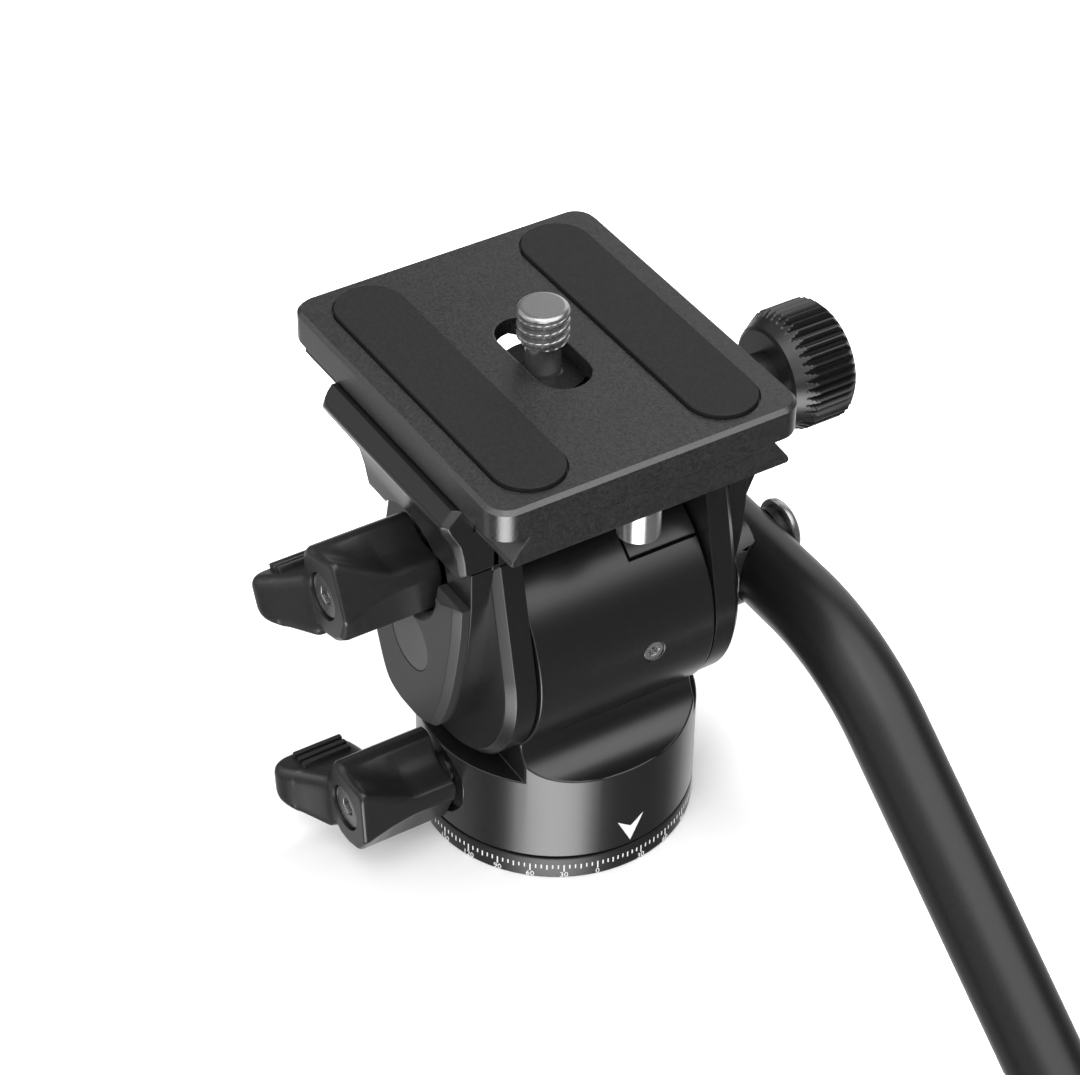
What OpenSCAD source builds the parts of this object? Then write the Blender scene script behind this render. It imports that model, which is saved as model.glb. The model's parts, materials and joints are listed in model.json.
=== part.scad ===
// Compact fluid video head with a sliding dovetail camera plate.
// Millimetres. Origin on the pan axis at the underside of the base.
// +X points to the handle side, +Y to the lens side, +Z up.

$fn = 64;

/* [Base] */
// Radius of the scale ring and of the pan housing above it
base_r = 17.75; // [17.5:0.05:18.5]
// Height of the scale ring
ring_h = 3.3; // [3.1:0.1:3.6]
// Open groove between the scale ring and the pan housing
ring_gap = 0.3; // [0.2:0.05:0.5]
// Wall radius of the tripod thread
thread_r = 4.76; // [4.6:0.02:4.9]
// Depth of the tripod thread
thread_depth = 9; // [8:0.25:9.5]
// Radius of the fixed pan spindle
spindle_r = 7; // [6.7:0.1:7.3]
// Radius of the round clamp plate under the spindle flange
clamp_disc_r = 13.15; // [12.9:0.05:13.4]
// Thickness of the round clamp plate
clamp_disc_t = 1.6; // [1.4:0.1:1.8]
// Shank radius of the base screws
base_screw_r = 0.9; // [0.8:0.05:1]

/* [Pan housing and drum] */
// Height of the flat rim of the pan housing
house_top = 15.85; // [15.7:0.05:16]
// Half width of the neck and of the tilt drum
drum_half = 12.4; // [12.2:0.1:12.6]
// Height of the tilt axis
tilt_z = 32.4; // [32.2:0.1:33]
// Radius of the tilt drum
drum_r = 16.1; // [15.9:0.05:16.2]
// Radius of the fillet between housing and drum
neck_fillet_r = 6; // [5.6:0.1:6.4]
// Radius of the bore for the tilt bearings
drum_bore_r = 9; // [8.6:0.1:9.4]
// Width of each tilt bearing
bearing_w = 3.5; // [3:0.1:4]
// Radius of the tilt shaft
shaft_r = 4; // [3.8:0.1:4.2]
// Radius of the viscous rotor on the tilt shaft
rotor_r = 8.2; // [7.6:0.1:8.4]
// Left edge of the inlaid drum plate
inlay_x = 2.7; // [2:0.1:4]
// Depth of the inlaid drum plate
inlay_t = 1; // [0.8:0.1:1.2]
// Position of the grub screw along the drum
grub_x = 3.7; // [3:0.1:5]
// Radius of the grub screw
grub_r = 1.35; // [1.2:0.05:1.5]

/* [Yoke] */
// Side gap between drum and arms
arm_gap = 0.4; // [0.3:0.05:0.6]
// Thickness of each arm
arm_t = 3.9; // [3.7:0.1:4.1]
// Radius of the round lower end of the arms
arm_r = 15.85; // [15.6:0.05:16]
// Half width of the arms at the clamp floor
arm_top_half = 12.1; // [11.8:0.1:12.4]
// Thickness of the raised side boss on each arm
boss_t = 2.7; // [2.5:0.1:2.9]
// Half width of the side boss
shield_half = 11.7; // [11.4:0.1:11.9]
// Depth of the side boss below the tilt axis
shield_drop = 10.3; // [10:0.1:10.6]
// Top of the left side cover above the tilt axis
cover_rise = 13.65; // [13.55:0.1:13.85]
// Thickness of the left side cover
cover_t = 2; // [1.8:0.1:2.2]
// Cut round the tilt lever in the cover and the boss
cover_cut_r = 6.1; // [5.9:0.1:6.3]
// Open corner of the boss and cover below the tilt lever axis, lens side
rear_cut = 3.8; // [3.4:0.1:4.4]
// Radius of the round inlay on the cover
cap_r = 4.25; // [4:0.05:4.4]
// Height of the inlay above the tilt axis
cap_rise = 2; // [1.6:0.1:2.2]
// Offset of the inlay towards the operator
cap_off = 0.6; // [0.3:0.1:0.9]
// Underside of the clamp floor above the tilt axis
floor_rise = 18.3; // [18.1:0.1:18.6]
// Thickness of the clamp floor
floor_t = 7; // [6.8:0.1:7.4]
// Front plane of the clamp
clamp_front = 11.9; // [11.6:0.1:12.2]
// Rear plane of the clamp floor
clamp_back = 15.8; // [15.4:0.1:16.2]
// Rear plane of the jaw lips
lip_back = 16.8; // [16.4:0.1:17.2]
// Rear plane of the jaws below their lips
waist_back = 10.8; // [10.4:0.1:11.2]
// Reach of the jaw lips beyond the plate edge
lip_over = 2.25; // [2.1:0.05:2.4]
// Wall of the jaws outside the dovetail
jaw_wall = 1.72; // [1.6:0.02:1.8]

/* [Clamp screw] */
// Height of the clamp screw above the clamp floor underside
screw_rise = 2.9; // [2.7:0.1:3.2]
// Radius of the clamp screw
clamp_screw_r = 2; // [1.8:0.1:2.2]
// Radius of the neck between jaw and knob
knob_neck_r = 3.2; // [2.8:0.1:3.6]
// Length of the neck between jaw and knob
knob_neck_l = 6.4; // [6:0.1:7]
// Small radius of the knob shoulder
knob_face_r = 6.15; // [5.6:0.05:6.6]
// Grip radius of the knob
knob_r = 7.8; // [7.4:0.05:8.2]
// Length of the knob
knob_l = 8.8; // [8.2:0.1:9.4]
// Radius of the jaw guide pins
pin_r = 1.25; // [1.1:0.05:1.4]
// Depth of the guide pins in the movable jaw
pin_seat = 3.4; // [3:0.1:3.6]
// Free length of the guide pins
pin_free = 9; // [8:0.5:10]
// Spacing of the jaw guide pins along the clamp
pin_gap = 15; // [13:0.5:17]
// Gap between the movable jaw and the clamp floor
jaw_gap = 0.4; // [0.3:0.05:0.6]

/* [Camera plate] */
// Width of the plate
plate_w = 41.9; // [41.5:0.1:42.3]
// Length of the plate
plate_l = 48.3; // [47:0.1:50]
// Offset of the plate centre from the pan axis
plate_y = 4.26; // [4:0.02:4.6]
// Thickness of the plate above the dovetail
slab_t = 4.3; // [4.1:0.1:4.6]
// Height of the dovetail
dove_h = 3.7; // [3.6:0.1:3.9]
// Width over the dovetail edges
dove_w = 38; // [37.8:0.05:38.1]
// Side clearance between dovetail and jaws
dove_gap = 0.08; // [0.05:0.01:0.12]
// Corner radius of the plate
plate_corner = 3; // [2.6:0.1:3.6]
// Half width of the rubber pads
pad_half = 4.5; // [4.2:0.1:4.8]
// Distance of the pads from the middle of the plate
pad_x = 13.1; // [12.8:0.1:13.4]
// Height of the pads above the plate
pad_proud = 0.5; // [0.3:0.05:0.8]
// Half width of the screw slot
slot_half = 3.4; // [3.2:0.05:3.6]
// Length of the screw slot
slot_l = 15.6; // [14:0.2:17]
// Head radius of the stop screws
stop_r = 2.65; // [2.4:0.05:2.8]
// Head height of the stop screws
stop_h = 4.4; // [4:0.1:4.6]
// Distance of the stop screws from the ends of the plate
stop_inset = 2.95; // [2.8:0.05:3.2]

/* [Camera screw] */
// Outside radius of the camera thread
cam_r = 3.175; // [3.1:0.005:3.2]
// Height of the camera screw above the plate
cam_rise = 6.7; // [6:0.1:7]
// Length of the threaded part
cam_thread_l = 5; // [4.6:0.1:5.4]
// Radius of the plain neck below the thread
cam_neck_r = 2.5; // [2.3:0.05:2.7]
// Radius of the screw head under the plate
cam_head_r = 5; // [4.6:0.1:5.2]

/* [Lock levers] */
// Height of the pan lever axis
pan_lever_z = 10.3; // [10.1:0.1:10.5]
// Height of the tilt lever axis above the tilt axis
tilt_lever_rise = 12.9; // [12.7:0.05:13]
// Length of a lever along its axis
lever_l = 13.7; // [13.2:0.1:14.2]
// Radius of the round neck of a lever
lever_neck_r = 5.2; // [5:0.1:5.4]
// Turn of the pan lever from level
pan_lever_turn = -5; // [-8:1:-2]
// Turn of the tilt lever from level
tilt_lever_turn = -24; // [-27:1:-21]
// Radius of the lock studs
stud_r = 2; // [1.8:0.05:2.2]
// Head radius of the lever screws
lever_screw_r = 2.85; // [2.7:0.05:2.9]

/* [Handle] */
// Thickness of the fixed rosette
rosette_t = 2.7; // [2.6:0.1:3]
// Distance of the tube axis from the face of the rosette
tube_stand = 5.5; // [5.4:0.1:5.8]
// Height of the handle axis
handle_z = 28; // [27.8:0.05:28.3]
// Radius of the handle tube
tube_r = 5.05; // [4.9:0.05:5.15]
// Wall of the handle tube
tube_wall = 1.2; // [1:0.1:1.4]
// Start of the bend behind the handle axis
bend_y = 12.55; // [11:0.1:14]
// Centreline radius of the bend
bend_r = 32.5; // [30:0.5:36]
// Angle of the bend
bend_a = 37.3; // [34:0.1:40]
// Straight tube after the bend
straight_l = 138; // [120:1:150]
// Length of the rubber grip
grip_l = 84; // [70:1:90]
// Radius of the rubber grip
grip_r = 8.5; // [8:0.1:9.5]
// Number of grooves round the grip
groove_n = 10; // [8:1:12]
// Width of a grip groove
groove_w = 1.6; // [1.2:0.1:2]
// Depth of a grip groove
groove_d = 0.6; // [0.4:0.05:0.8]
// Radius of the handle rosettes
rosette_r = 7.2; // [6.8:0.1:7.5]
// Radius of the handle bolt
bolt_r = 2.5; // [2.3:0.05:2.6]
// Head radius of the handle bolt
bolt_head_r = 4; // [3.8:0.1:4.3]
// Head height of the handle bolt
bolt_head_h = 1.6; // [1.4:0.1:1.8]

/* [Fits] */
// Radial running clearance of a shaft in its hole
run = 0.05; // [0.03:0.01:0.08]
// Radial clearance of fixed round pieces
seat = 0.03; // [0.02:0.01:0.05]

/* [Hidden] */
body_lo = ring_h + ring_gap;
flange_r = spindle_r + 3.5;
base_screw_y = flange_r - 1.05;
bush_lo = ring_h + 1;
bush_ledge = bush_lo + 1.2;
bush_r = spindle_r + 2;
spindle_hi = 12.6;
bush_hi = spindle_hi - 0.1;
keeper_hi = spindle_hi + 1.3;
arm_in = drum_half + arm_gap;
arm_out = arm_in + arm_t;
boss_out = arm_out + boss_t;
cover_out = boss_out + cover_t;
cover_screw_y = shield_half * 0.376;
cover_screw_z = tilt_z - shield_drop * 0.544;
lip_half = plate_w / 2 + lip_over;
far = 2 * lip_half;
floor_lo = tilt_z + floor_rise;
floor_hi = floor_lo + floor_t;
plate_lo = floor_hi;
slab_lo = plate_lo + dove_h;
plate_hi = slab_lo + slab_t;
dove_half = dove_w / 2;
dove_in = dove_half - 2.25;
jaw_waist = dove_half + dove_gap + jaw_wall;
dove_tip = 0.75;
slot_lip = slot_half * 0.647;
stop_y = plate_l / 2 - stop_inset;
tilt_lever_z = tilt_z + tilt_lever_rise;
pan_lever_x = -(base_r - 0.75);
tilt_lever_x = -(boss_out - 0.5);
scoop_r = 7.9;
screw_z = floor_lo + screw_rise;
jaw_in = arm_out - 1.3 + jaw_gap;
neck_x0 = lip_half;
knob_x0 = neck_x0 + knob_neck_l;
rosette_x = boss_out + rosette_t;
tube_x = rosette_x + tube_stand;
saddle_x = rosette_x + 0.1;
tube_end_y = 9;
bolt_head_x = tube_x + tube_r + 0.5;
groove_gap = (grip_l - 12) / groove_n;
bend_ey = -bend_y - bend_r * sin(bend_a);
bend_ez = handle_z - bend_r * (1 - cos(bend_a));

// Round bar along X
module bar_x(x0, x1, y, z, r) {
    translate([x0, y, z]) rotate([0, 90, 0]) cylinder(r = r, h = x1 - x0);
}

// Outline drawn in Y and Z, thick along X
module slab_x(x0, x1) {
    translate([x0, 0, 0]) rotate([90, 0, 90]) linear_extrude(x1 - x0) children();
}

// Outline drawn in X and Z, thick along Y
module slab_y(y0, y1) {
    translate([0, y1, 0]) rotate([90, 0, 0]) linear_extrude(y1 - y0) children();
}

// Flat stadium along Y
module stadium(half, length) {
    square([2 * half, length - 2 * half], center = true);
    for (s = [-1, 1]) translate([0, s * (length / 2 - half)]) circle(r = half);
}

// Plan of the camera plate, inset by the given amount
module plate_plan(inset) {
    w = plate_w - 2 * inset;
    l = plate_l - 2 * inset;
    c = plate_corner - inset;
    square([w, l - 2 * c], center = true);
    square([w - 2 * c, l], center = true);
    for (sx = [-1, 1], sy = [-1, 1]) translate([sx * (w / 2 - c), sy * (l / 2 - c)]) circle(r = c);
}

// Side outline of an arm
module arm_plan() {
    translate([0, tilt_z]) circle(r = arm_r);
    polygon([
        [-arm_r * 0.976, tilt_z + arm_r * 0.216],
        [-arm_top_half, floor_lo + 0.4],
        [arm_top_half, floor_lo + 0.4],
        [arm_r * 0.976, tilt_z + arm_r * 0.216]
    ]);
}

// Shield outline of the side boss
module shield_plan(top) {
    w = shield_half;
    h = shield_drop;
    polygon([
        [-w, top],
        [-0.991 * w, tilt_z + 1.32 * h],
        [-0.949 * w, tilt_z + 0.835 * h],
        [-0.829 * w, tilt_z + 0.155 * h],
        [-0.718 * w, tilt_z - 0.282 * h],
        [-0.547 * w, tilt_z - 0.738 * h],
        [-0.393 * w, tilt_z - 0.922 * h],
        [-0.171 * w, tilt_z - h],
        [0.171 * w, tilt_z - h],
        [0.393 * w, tilt_z - 0.922 * h],
        [0.547 * w, tilt_z - 0.738 * h],
        [0.718 * w, tilt_z - 0.282 * h],
        [0.829 * w, tilt_z + 0.155 * h],
        [0.949 * w, tilt_z + 0.835 * h],
        [0.991 * w, tilt_z + 1.32 * h],
        [w, top]
    ]);
}

// Outline of the left boss and cover, open behind the tilt lever
module open_plan(top) {
    difference() {
        shield_plan(top);
        translate([0, tilt_lever_z - rear_cut]) square([far, far]);
    }
}

// Side profile of the jaws, their lips drawn out towards the lens side
module flare_plan() {
    polygon([
        [-clamp_front, floor_lo],
        [waist_back - 1.2, floor_lo],
        [waist_back, floor_hi - 0.9],
        [lip_back, floor_hi + 0.5],
        [lip_back, slab_lo],
        [-clamp_front, slab_lo]
    ]);
}

// Cross section of the left jaw, drawn on the negative X side
module jaw_plan(inner) {
    a = jaw_waist;
    d = lip_half - jaw_waist;
    polygon([
        [-inner, floor_lo],
        [-a, floor_lo],
        [-(a + 0.06 * d), floor_lo + 0.17 * floor_t],
        [-(a + 0.125 * d), floor_lo + 0.414 * floor_t],
        [-(a + 0.29 * d), floor_lo + 0.714 * floor_t],
        [-(a + 0.46 * d), floor_lo + 0.829 * floor_t],
        [-(a + 0.81 * d), floor_lo + 1.043 * floor_t],
        [-lip_half, floor_lo + 1.214 * floor_t],
        [-(a + 0.96 * d), floor_lo + 1.3 * floor_t],
        [-(plate_w / 2 + 0.6), slab_lo - 0.2],
        [-(dove_in + dove_gap + 0.14), slab_lo - 0.2],
        [-(dove_half + dove_gap), floor_hi + dove_tip],
        [-(dove_half + dove_gap), floor_hi],
        [-inner, floor_hi]
    ]);
}

// Cross section of the plate dovetail
module dove_plan() {
    polygon([
        [-dove_half, plate_lo],
        [dove_half, plate_lo],
        [dove_half, plate_lo + dove_tip],
        [dove_in, slab_lo],
        [-dove_in, slab_lo],
        [-dove_half, plate_lo + dove_tip]
    ]);
}

// Lock lever on its own axis, growing along negative X from the neck
module lever_shape() {
    reach = lever_l;
    k = lever_l / 13.7;
    difference() {
        union() {
            bar_x(-2 * k, 0, 0, 0, lever_neck_r);
            slab_x(-6.6 * k, -1.3 * k) scale(k) polygon([
                [4.2, 2.6], [2.8, 4.9], [1.5, 5.7], [0.6, 5.8], [-4.2, 0.7],
                [-4.7, -0.9], [-4.3, -2.5], [-3.4, -4.6], [0.5, -5], [4.2, -3.8]
            ]);
            slab_x(-reach, -6.6 * k) scale(k) polygon([
                [4.6, 2.8], [3.4, 4.8], [1.4, 6.1], [-0.8, 5.9], [-3.6, 4.1], [-5.2, 2.1],
                [-5.8, -0.3], [-5.5, -2.8], [-4.2, -4.6], [-2, -5.3], [1.8, -5.4], [4.6, -4.1]
            ]);
            translate([0, 0, -4 * k]) linear_extrude(6 * k) scale(k) polygon([
                [-13.4, 0], [-14.6, 2.2], [-16.2, 3.4], [-17.3, 4.9], [-17.9, 6.7], [-18.2, 8.6],
                [-18, 10.2], [-17, 11.2], [-15, 11.6], [-9.5, 11.4], [-8, 10.6], [-7.2, 9],
                [-6.7, 6], [-6.7, 0]
            ]);
            for (i = [0, 1, 2]) translate([-(reach + 1.6 * k), (6.5 + 1.15 * i) * k, 1.9 * k])
                cube([6.8 * k, 0.75 * k, 0.8 * k]);
        }
        bar_x(-(reach - 1), 1, 0, 0, stud_r + seat);
        bar_x(-(reach + 6), -(reach - 1.9), 0, 0, lever_screw_r + 0.2);
    }
}

// Bent centreline swept with the given radius, the bend a hair fuller than the straights
module bent_tube(r, y0, l) {
    lap = 0.4;
    translate([tube_x, -bend_y - lap, handle_z]) rotate([-90, 0, 0]) cylinder(r = r, h = y0 + bend_y + lap);
    translate([tube_x, -bend_y, handle_z - bend_r]) rotate([0, 90, 0]) rotate([0, 0, 180])
        rotate_extrude(angle = bend_a) translate([bend_r, 0]) circle(r = r + 0.02);
    translate([tube_x, bend_ey, bend_ez]) rotate([90 + bend_a, 0, 0]) translate([0, 0, -lap])
        cylinder(r = r, h = l + lap);
}

// Piece on the straight tube after the bend
module on_grip(s) {
    translate([tube_x, bend_ey, bend_ez]) rotate([90 + bend_a, 0, 0]) translate([0, 0, s]) children();
}

module scale_ring() {
    color([0.07, 0.07, 0.07]) difference() {
        cylinder(r = base_r, h = ring_h);
        translate([0, 0, -1]) cylinder(r = clamp_disc_r + seat, h = 1 + clamp_disc_t);
        translate([0, 0, -1]) cylinder(r = flange_r + seat, h = ring_h + 2);
    }
}

module pan_spindle() {
    color([0.6, 0.6, 0.62]) difference() {
        union() {
            cylinder(r = spindle_r + 1, h = ring_h);
            translate([0, 0, clamp_disc_t]) cylinder(r = flange_r, h = ring_h - clamp_disc_t);
            cylinder(r = spindle_r, h = spindle_hi);
        }
        translate([0, 0, -1]) cylinder(r = thread_r, h = thread_depth + 1);
        translate([0, 0, spindle_hi - 2.4]) cylinder(r = 1.25 + seat, h = 3);
        for (k = [0, 1, 2]) rotate(k * 120 + 30) translate([base_screw_y, 0, 0])
            cylinder(r = base_screw_r + seat, h = ring_h - 0.4);
    }
}

module clamp_disc() {
    color([0.3, 0.3, 0.31]) difference() {
        cylinder(r = clamp_disc_r, h = clamp_disc_t);
        translate([0, 0, -1]) cylinder(r = spindle_r + 1 + seat, h = clamp_disc_t + 2);
        for (k = [0, 1, 2]) rotate(k * 120 + 30) translate([base_screw_y, 0, -1]) {
            cylinder(r = base_screw_r + seat, h = clamp_disc_t + 2);
            cylinder(r = base_screw_r * 1.45 + seat, h = 1.8);
        }
    }
}

module base_screws() {
    color([0.6, 0.6, 0.62]) for (k = [0, 1, 2]) rotate(k * 120 + 30)
        translate([base_screw_y, 0, 0]) {
            translate([0, 0, 0.2]) cylinder(r = base_screw_r, h = ring_h - 0.8);
            translate([0, 0, 0.2]) cylinder(r = base_screw_r * 1.45, h = 0.6);
        }
}

module pan_keeper() {
    color([0.6, 0.6, 0.62]) translate([0, 0, spindle_hi]) difference() {
        cylinder(r = bush_r + seat - run, h = keeper_hi - spindle_hi);
        translate([0, 0, -1]) cylinder(r = 1.25 + seat, h = 4);
    }
}

module keeper_screw() {
    color([0.6, 0.6, 0.62]) {
        translate([0, 0, spindle_hi - 2]) cylinder(r = 1.25, h = 2 + keeper_hi - spindle_hi);
        translate([0, 0, keeper_hi]) cylinder(r = 2.4, h = 0.6);
    }
}

module pan_washer() {
    color([0.85, 0.85, 0.8]) translate([0, 0, ring_h]) difference() {
        cylinder(r = flange_r - 0.1, h = bush_lo - ring_h);
        translate([0, 0, -1]) cylinder(r = spindle_r + run, h = 4);
    }
}

module head_body() {
    color([0.07, 0.07, 0.07]) difference() {
        union() {
            translate([0, 0, body_lo]) cylinder(r = base_r, h = house_top - body_lo);
            intersection() {
                slab_x(-drum_half, drum_half) difference() {
                    translate([-base_r, house_top - 1]) square([2 * base_r, 12]);
                    for (s = [-1, 1]) translate([s * (base_r - 0.35), house_top + 0.35 + neck_fillet_r])
                        circle(r = neck_fillet_r);
                    for (s = [-1, 1]) translate([s * (base_r + 2.65), house_top + 0.35 + neck_fillet_r])
                        square([6, 2 * neck_fillet_r], center = true);
                    for (s = [-1, 1]) translate([s * base_r, house_top + 0.35 + neck_fillet_r + 4])
                        square([12, 8], center = true);
                }
                cylinder(r = base_r, h = tilt_z);
            }
            bar_x(-drum_half, drum_half, 0, tilt_z, drum_r);
        }
        translate([0, 0, body_lo - 1]) cylinder(r = flange_r + 1.2, h = bush_ledge - body_lo + 1);
        translate([0, 0, body_lo]) cylinder(r = bush_r + seat, h = keeper_hi + 0.9 - body_lo);
        bar_x(-base_r - 1, -bush_r + 1, 0, pan_lever_z, stud_r + run);
        bar_x(-base_r - 1, pan_lever_x + 0.3, 0, pan_lever_z, lever_neck_r + 0.2);
        bar_x(-drum_half - 1, drum_half + 1, 0, tilt_z, drum_bore_r + seat);
        intersection() {
            slab_x(inlay_x, drum_half + 1) polygon([
                [0, tilt_z], [-30, tilt_z + 30], [30, tilt_z + 30]
            ]);
            difference() {
                bar_x(0, drum_half + 1, 0, tilt_z, drum_r + 1);
                bar_x(-1, drum_half + 2, 0, tilt_z, drum_r - inlay_t);
            }
        }
        translate([grub_x, -drum_bore_r + 2, tilt_z]) rotate([90, 0, 0])
            cylinder(r = grub_r + seat, h = drum_r);
    }
}

module pan_bushing() {
    color([0.55, 0.42, 0.2]) difference() {
        union() {
            translate([0, 0, bush_lo]) cylinder(r = flange_r + 0.8, h = bush_ledge - bush_lo);
            translate([0, 0, bush_lo]) cylinder(r = bush_r, h = bush_hi - bush_lo);
        }
        translate([0, 0, bush_lo - 1]) cylinder(r = spindle_r + run, h = bush_hi);
        bar_x(-bush_r - 1, -spindle_r + 2, 0, pan_lever_z, stud_r + run);
    }
}

module drum_inlay() {
    color([0.08, 0.08, 0.08]) intersection() {
        slab_x(inlay_x + 0.2, drum_half) polygon([
            [0, tilt_z + 0.3], [-30, tilt_z + 30.3], [30, tilt_z + 30.3]
        ]);
        difference() {
            bar_x(0, drum_half, 0, tilt_z, drum_r);
            bar_x(-1, drum_half + 1, 0, tilt_z, drum_r - inlay_t);
        }
    }
}

module grub_screw() {
    color([0.5, 0.5, 0.52]) translate([grub_x, -drum_bore_r - 2.2, tilt_z]) rotate([90, 0, 0])
        difference() {
            cylinder(r = grub_r, h = drum_r - drum_bore_r - 2.4);
            translate([0, 0, drum_r - drum_bore_r - 3.6]) cylinder(r = grub_r * 0.55, h = 3, $fn = 6);
        }
}

module tilt_bearings() {
    color([0.6, 0.6, 0.62]) for (s = [-1, 1]) translate([s * (drum_half - bearing_w / 2), 0, 0])
        difference() {
            bar_x(-bearing_w / 2, bearing_w / 2, 0, tilt_z, drum_bore_r);
            bar_x(-bearing_w, bearing_w, 0, tilt_z, shaft_r + run);
        }
}

module tilt_shaft() {
    color([0.6, 0.6, 0.62]) difference() {
        bar_x(-arm_out + 0.2, arm_out - 0.2, 0, tilt_z, shaft_r);
        bar_x(-arm_out - 1, -arm_out + 7, 0, tilt_z, 1.5 + seat);
    }
}

module tilt_rotor() {
    color([0.75, 0.73, 0.68]) difference() {
        bar_x(-drum_half + bearing_w + 0.3, drum_half - bearing_w - 0.3, 0, tilt_z, rotor_r);
        bar_x(-drum_half, drum_half, 0, tilt_z, shaft_r + seat);
    }
}

module shaft_screw() {
    color([0.6, 0.6, 0.62]) {
        bar_x(-arm_out + 0.2, -arm_out + 6, 0, tilt_z, 1.5);
        bar_x(-arm_out - 1.6, -arm_out + 0.2, 0, tilt_z, shaft_r - 0.3);
    }
}

module yoke() {
    color([0.07, 0.07, 0.07]) difference() {
        union() {
            for (s = [-1, 1]) {
                slab_x(s > 0 ? arm_in : -arm_out, s > 0 ? arm_out : -arm_in) arm_plan();
            }
            slab_x(arm_out, boss_out) shield_plan(floor_lo + 0.3);
            slab_x(-boss_out, -arm_out) open_plan(floor_lo + 0.3);
            bar_x(-boss_out + 0.2, -arm_out, 0, tilt_lever_z, lever_neck_r);
            slab_y(-shield_half + 0.2, shield_half - 0.2) polygon([
                [boss_out - 0.5, floor_lo - 4.6],
                [jaw_waist - 0.1, floor_lo - 0.4],
                [jaw_waist - 0.1, floor_lo + 0.2],
                [boss_out - 0.5, floor_lo + 0.2]
            ]);
            slab_x(-arm_out, jaw_in - jaw_gap) polygon([
                [-clamp_front, floor_lo],
                [clamp_front, floor_lo],
                [clamp_back, floor_hi - 1.5],
                [clamp_back, floor_hi],
                [-clamp_front, floor_hi]
            ]);
            intersection() {
                slab_y(-clamp_front, lip_back) jaw_plan(arm_out - 1);
                slab_x(-far, 0) flare_plan();
            }
        }
        bar_x(-arm_out + 0.001, arm_out - 0.2, 0, tilt_z, shaft_r + seat);
        bar_x(-boss_out - 1, -arm_out + 0.1, 0, tilt_z, shaft_r + seat);
        bar_x(-far, tilt_lever_x + 0.3, 0, tilt_lever_z, cover_cut_r);
        intersection() {
            bar_x(-far, tilt_lever_x + 0.3, 0, tilt_lever_z, scoop_r);
            translate([-far, -far / 2, floor_lo - 0.5]) cube([far, far, far]);
        }
        bar_x(tilt_lever_x, -arm_in + 1, 0, tilt_lever_z, stud_r + run);
        bar_x(-9, jaw_in + 1, 0, screw_z, clamp_screw_r + run);
        for (s = [-1, 1]) bar_x(jaw_in - pin_free - 3.8, jaw_in + 1, s * pin_gap / 2, screw_z, pin_r + run);
        bar_x(arm_out + 0.3, boss_out + 1, 0, handle_z, bolt_r + run);
        for (s = [-1, 1]) {
            bar_x(-boss_out - 1, -arm_in + 1, s * cover_screw_y, cover_screw_z, 0.8 + seat);
            bar_x(-arm_in - 1.3, -arm_in + 1, s * cover_screw_y, cover_screw_z, 1.5 + seat);
        }
    }
}

module tilt_cover() {
    color([0.08, 0.08, 0.08]) difference() {
        union() {
            slab_x(-cover_out + 0.8, -boss_out) open_plan(tilt_z + cover_rise);
            slab_x(-cover_out, -cover_out + 0.8) offset(delta = -0.6) open_plan(tilt_z + cover_rise);
        }
        bar_x(-far, -boss_out + 1, 0, tilt_lever_z, cover_cut_r);
        bar_x(-cover_out - 1, -cover_out + 0.8, -cap_off, tilt_z + cap_rise, cap_r + seat);
        for (s = [-1, 1])
            bar_x(-cover_out + 0.7, -boss_out + 1, s * cover_screw_y, cover_screw_z, 0.8 + seat);
    }
}

module cover_cap() {
    color([0.1, 0.1, 0.1]) bar_x(-cover_out + 0.05, -cover_out + 0.8, -cap_off, tilt_z + cap_rise, cap_r);
}

module cover_screws() {
    color([0.07, 0.07, 0.07]) for (s = [-1, 1]) {
        bar_x(-cover_out + 0.9, -arm_in - 0.3, s * cover_screw_y, cover_screw_z, 0.8);
        bar_x(-arm_in - 1.3, -arm_in - 0.1, s * cover_screw_y, cover_screw_z, 1.5);
    }
}

module jaw() {
    color([0.07, 0.07, 0.07]) difference() {
        intersection() {
            mirror([1, 0, 0]) slab_y(-clamp_front, lip_back) jaw_plan(jaw_in);
            slab_x(0, far) flare_plan();
            translate([0, -far / 2, floor_lo + 0.7]) cube([far, far, far]);
        }
        bar_x(jaw_in - 1, far, 0, screw_z, clamp_screw_r + run);
        bar_x(neck_x0 - 2.5, far, 0, screw_z, knob_neck_r + 0.3);
        for (s = [-1, 1]) bar_x(jaw_in - 1, jaw_in + pin_seat + 0.2, s * pin_gap / 2, screw_z, pin_r + seat);
    }
}

module guide_pins() {
    color([0.6, 0.6, 0.62]) for (s = [-1, 1])
        bar_x(jaw_in - pin_free, jaw_in + pin_seat, s * pin_gap / 2, screw_z, pin_r);
}

module clamp_screw() {
    color([0.5, 0.5, 0.52]) bar_x(-5, knob_x0 + 3.8, 0, screw_z, clamp_screw_r);
}

module clamp_knob() {
    color([0.06, 0.06, 0.06]) difference() {
        union() {
            bar_x(neck_x0 - 2.2, knob_x0 + 1, 0, screw_z, knob_neck_r);
            translate([knob_x0, 0, screw_z]) rotate([0, 90, 0])
                cylinder(r1 = knob_face_r, r2 = knob_r, h = knob_l * 0.32);
            bar_x(knob_x0 + knob_l * 0.32, knob_x0 + knob_l - 0.9, 0, screw_z, knob_r);
            translate([knob_x0 + knob_l - 0.9, 0, screw_z]) rotate([0, 90, 0])
                cylinder(r1 = knob_r, r2 = knob_r - 0.9, h = 0.9);
        }
        bar_x(neck_x0 - 3, knob_x0 + 4, 0, screw_z, clamp_screw_r + seat);
    }
}

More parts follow.
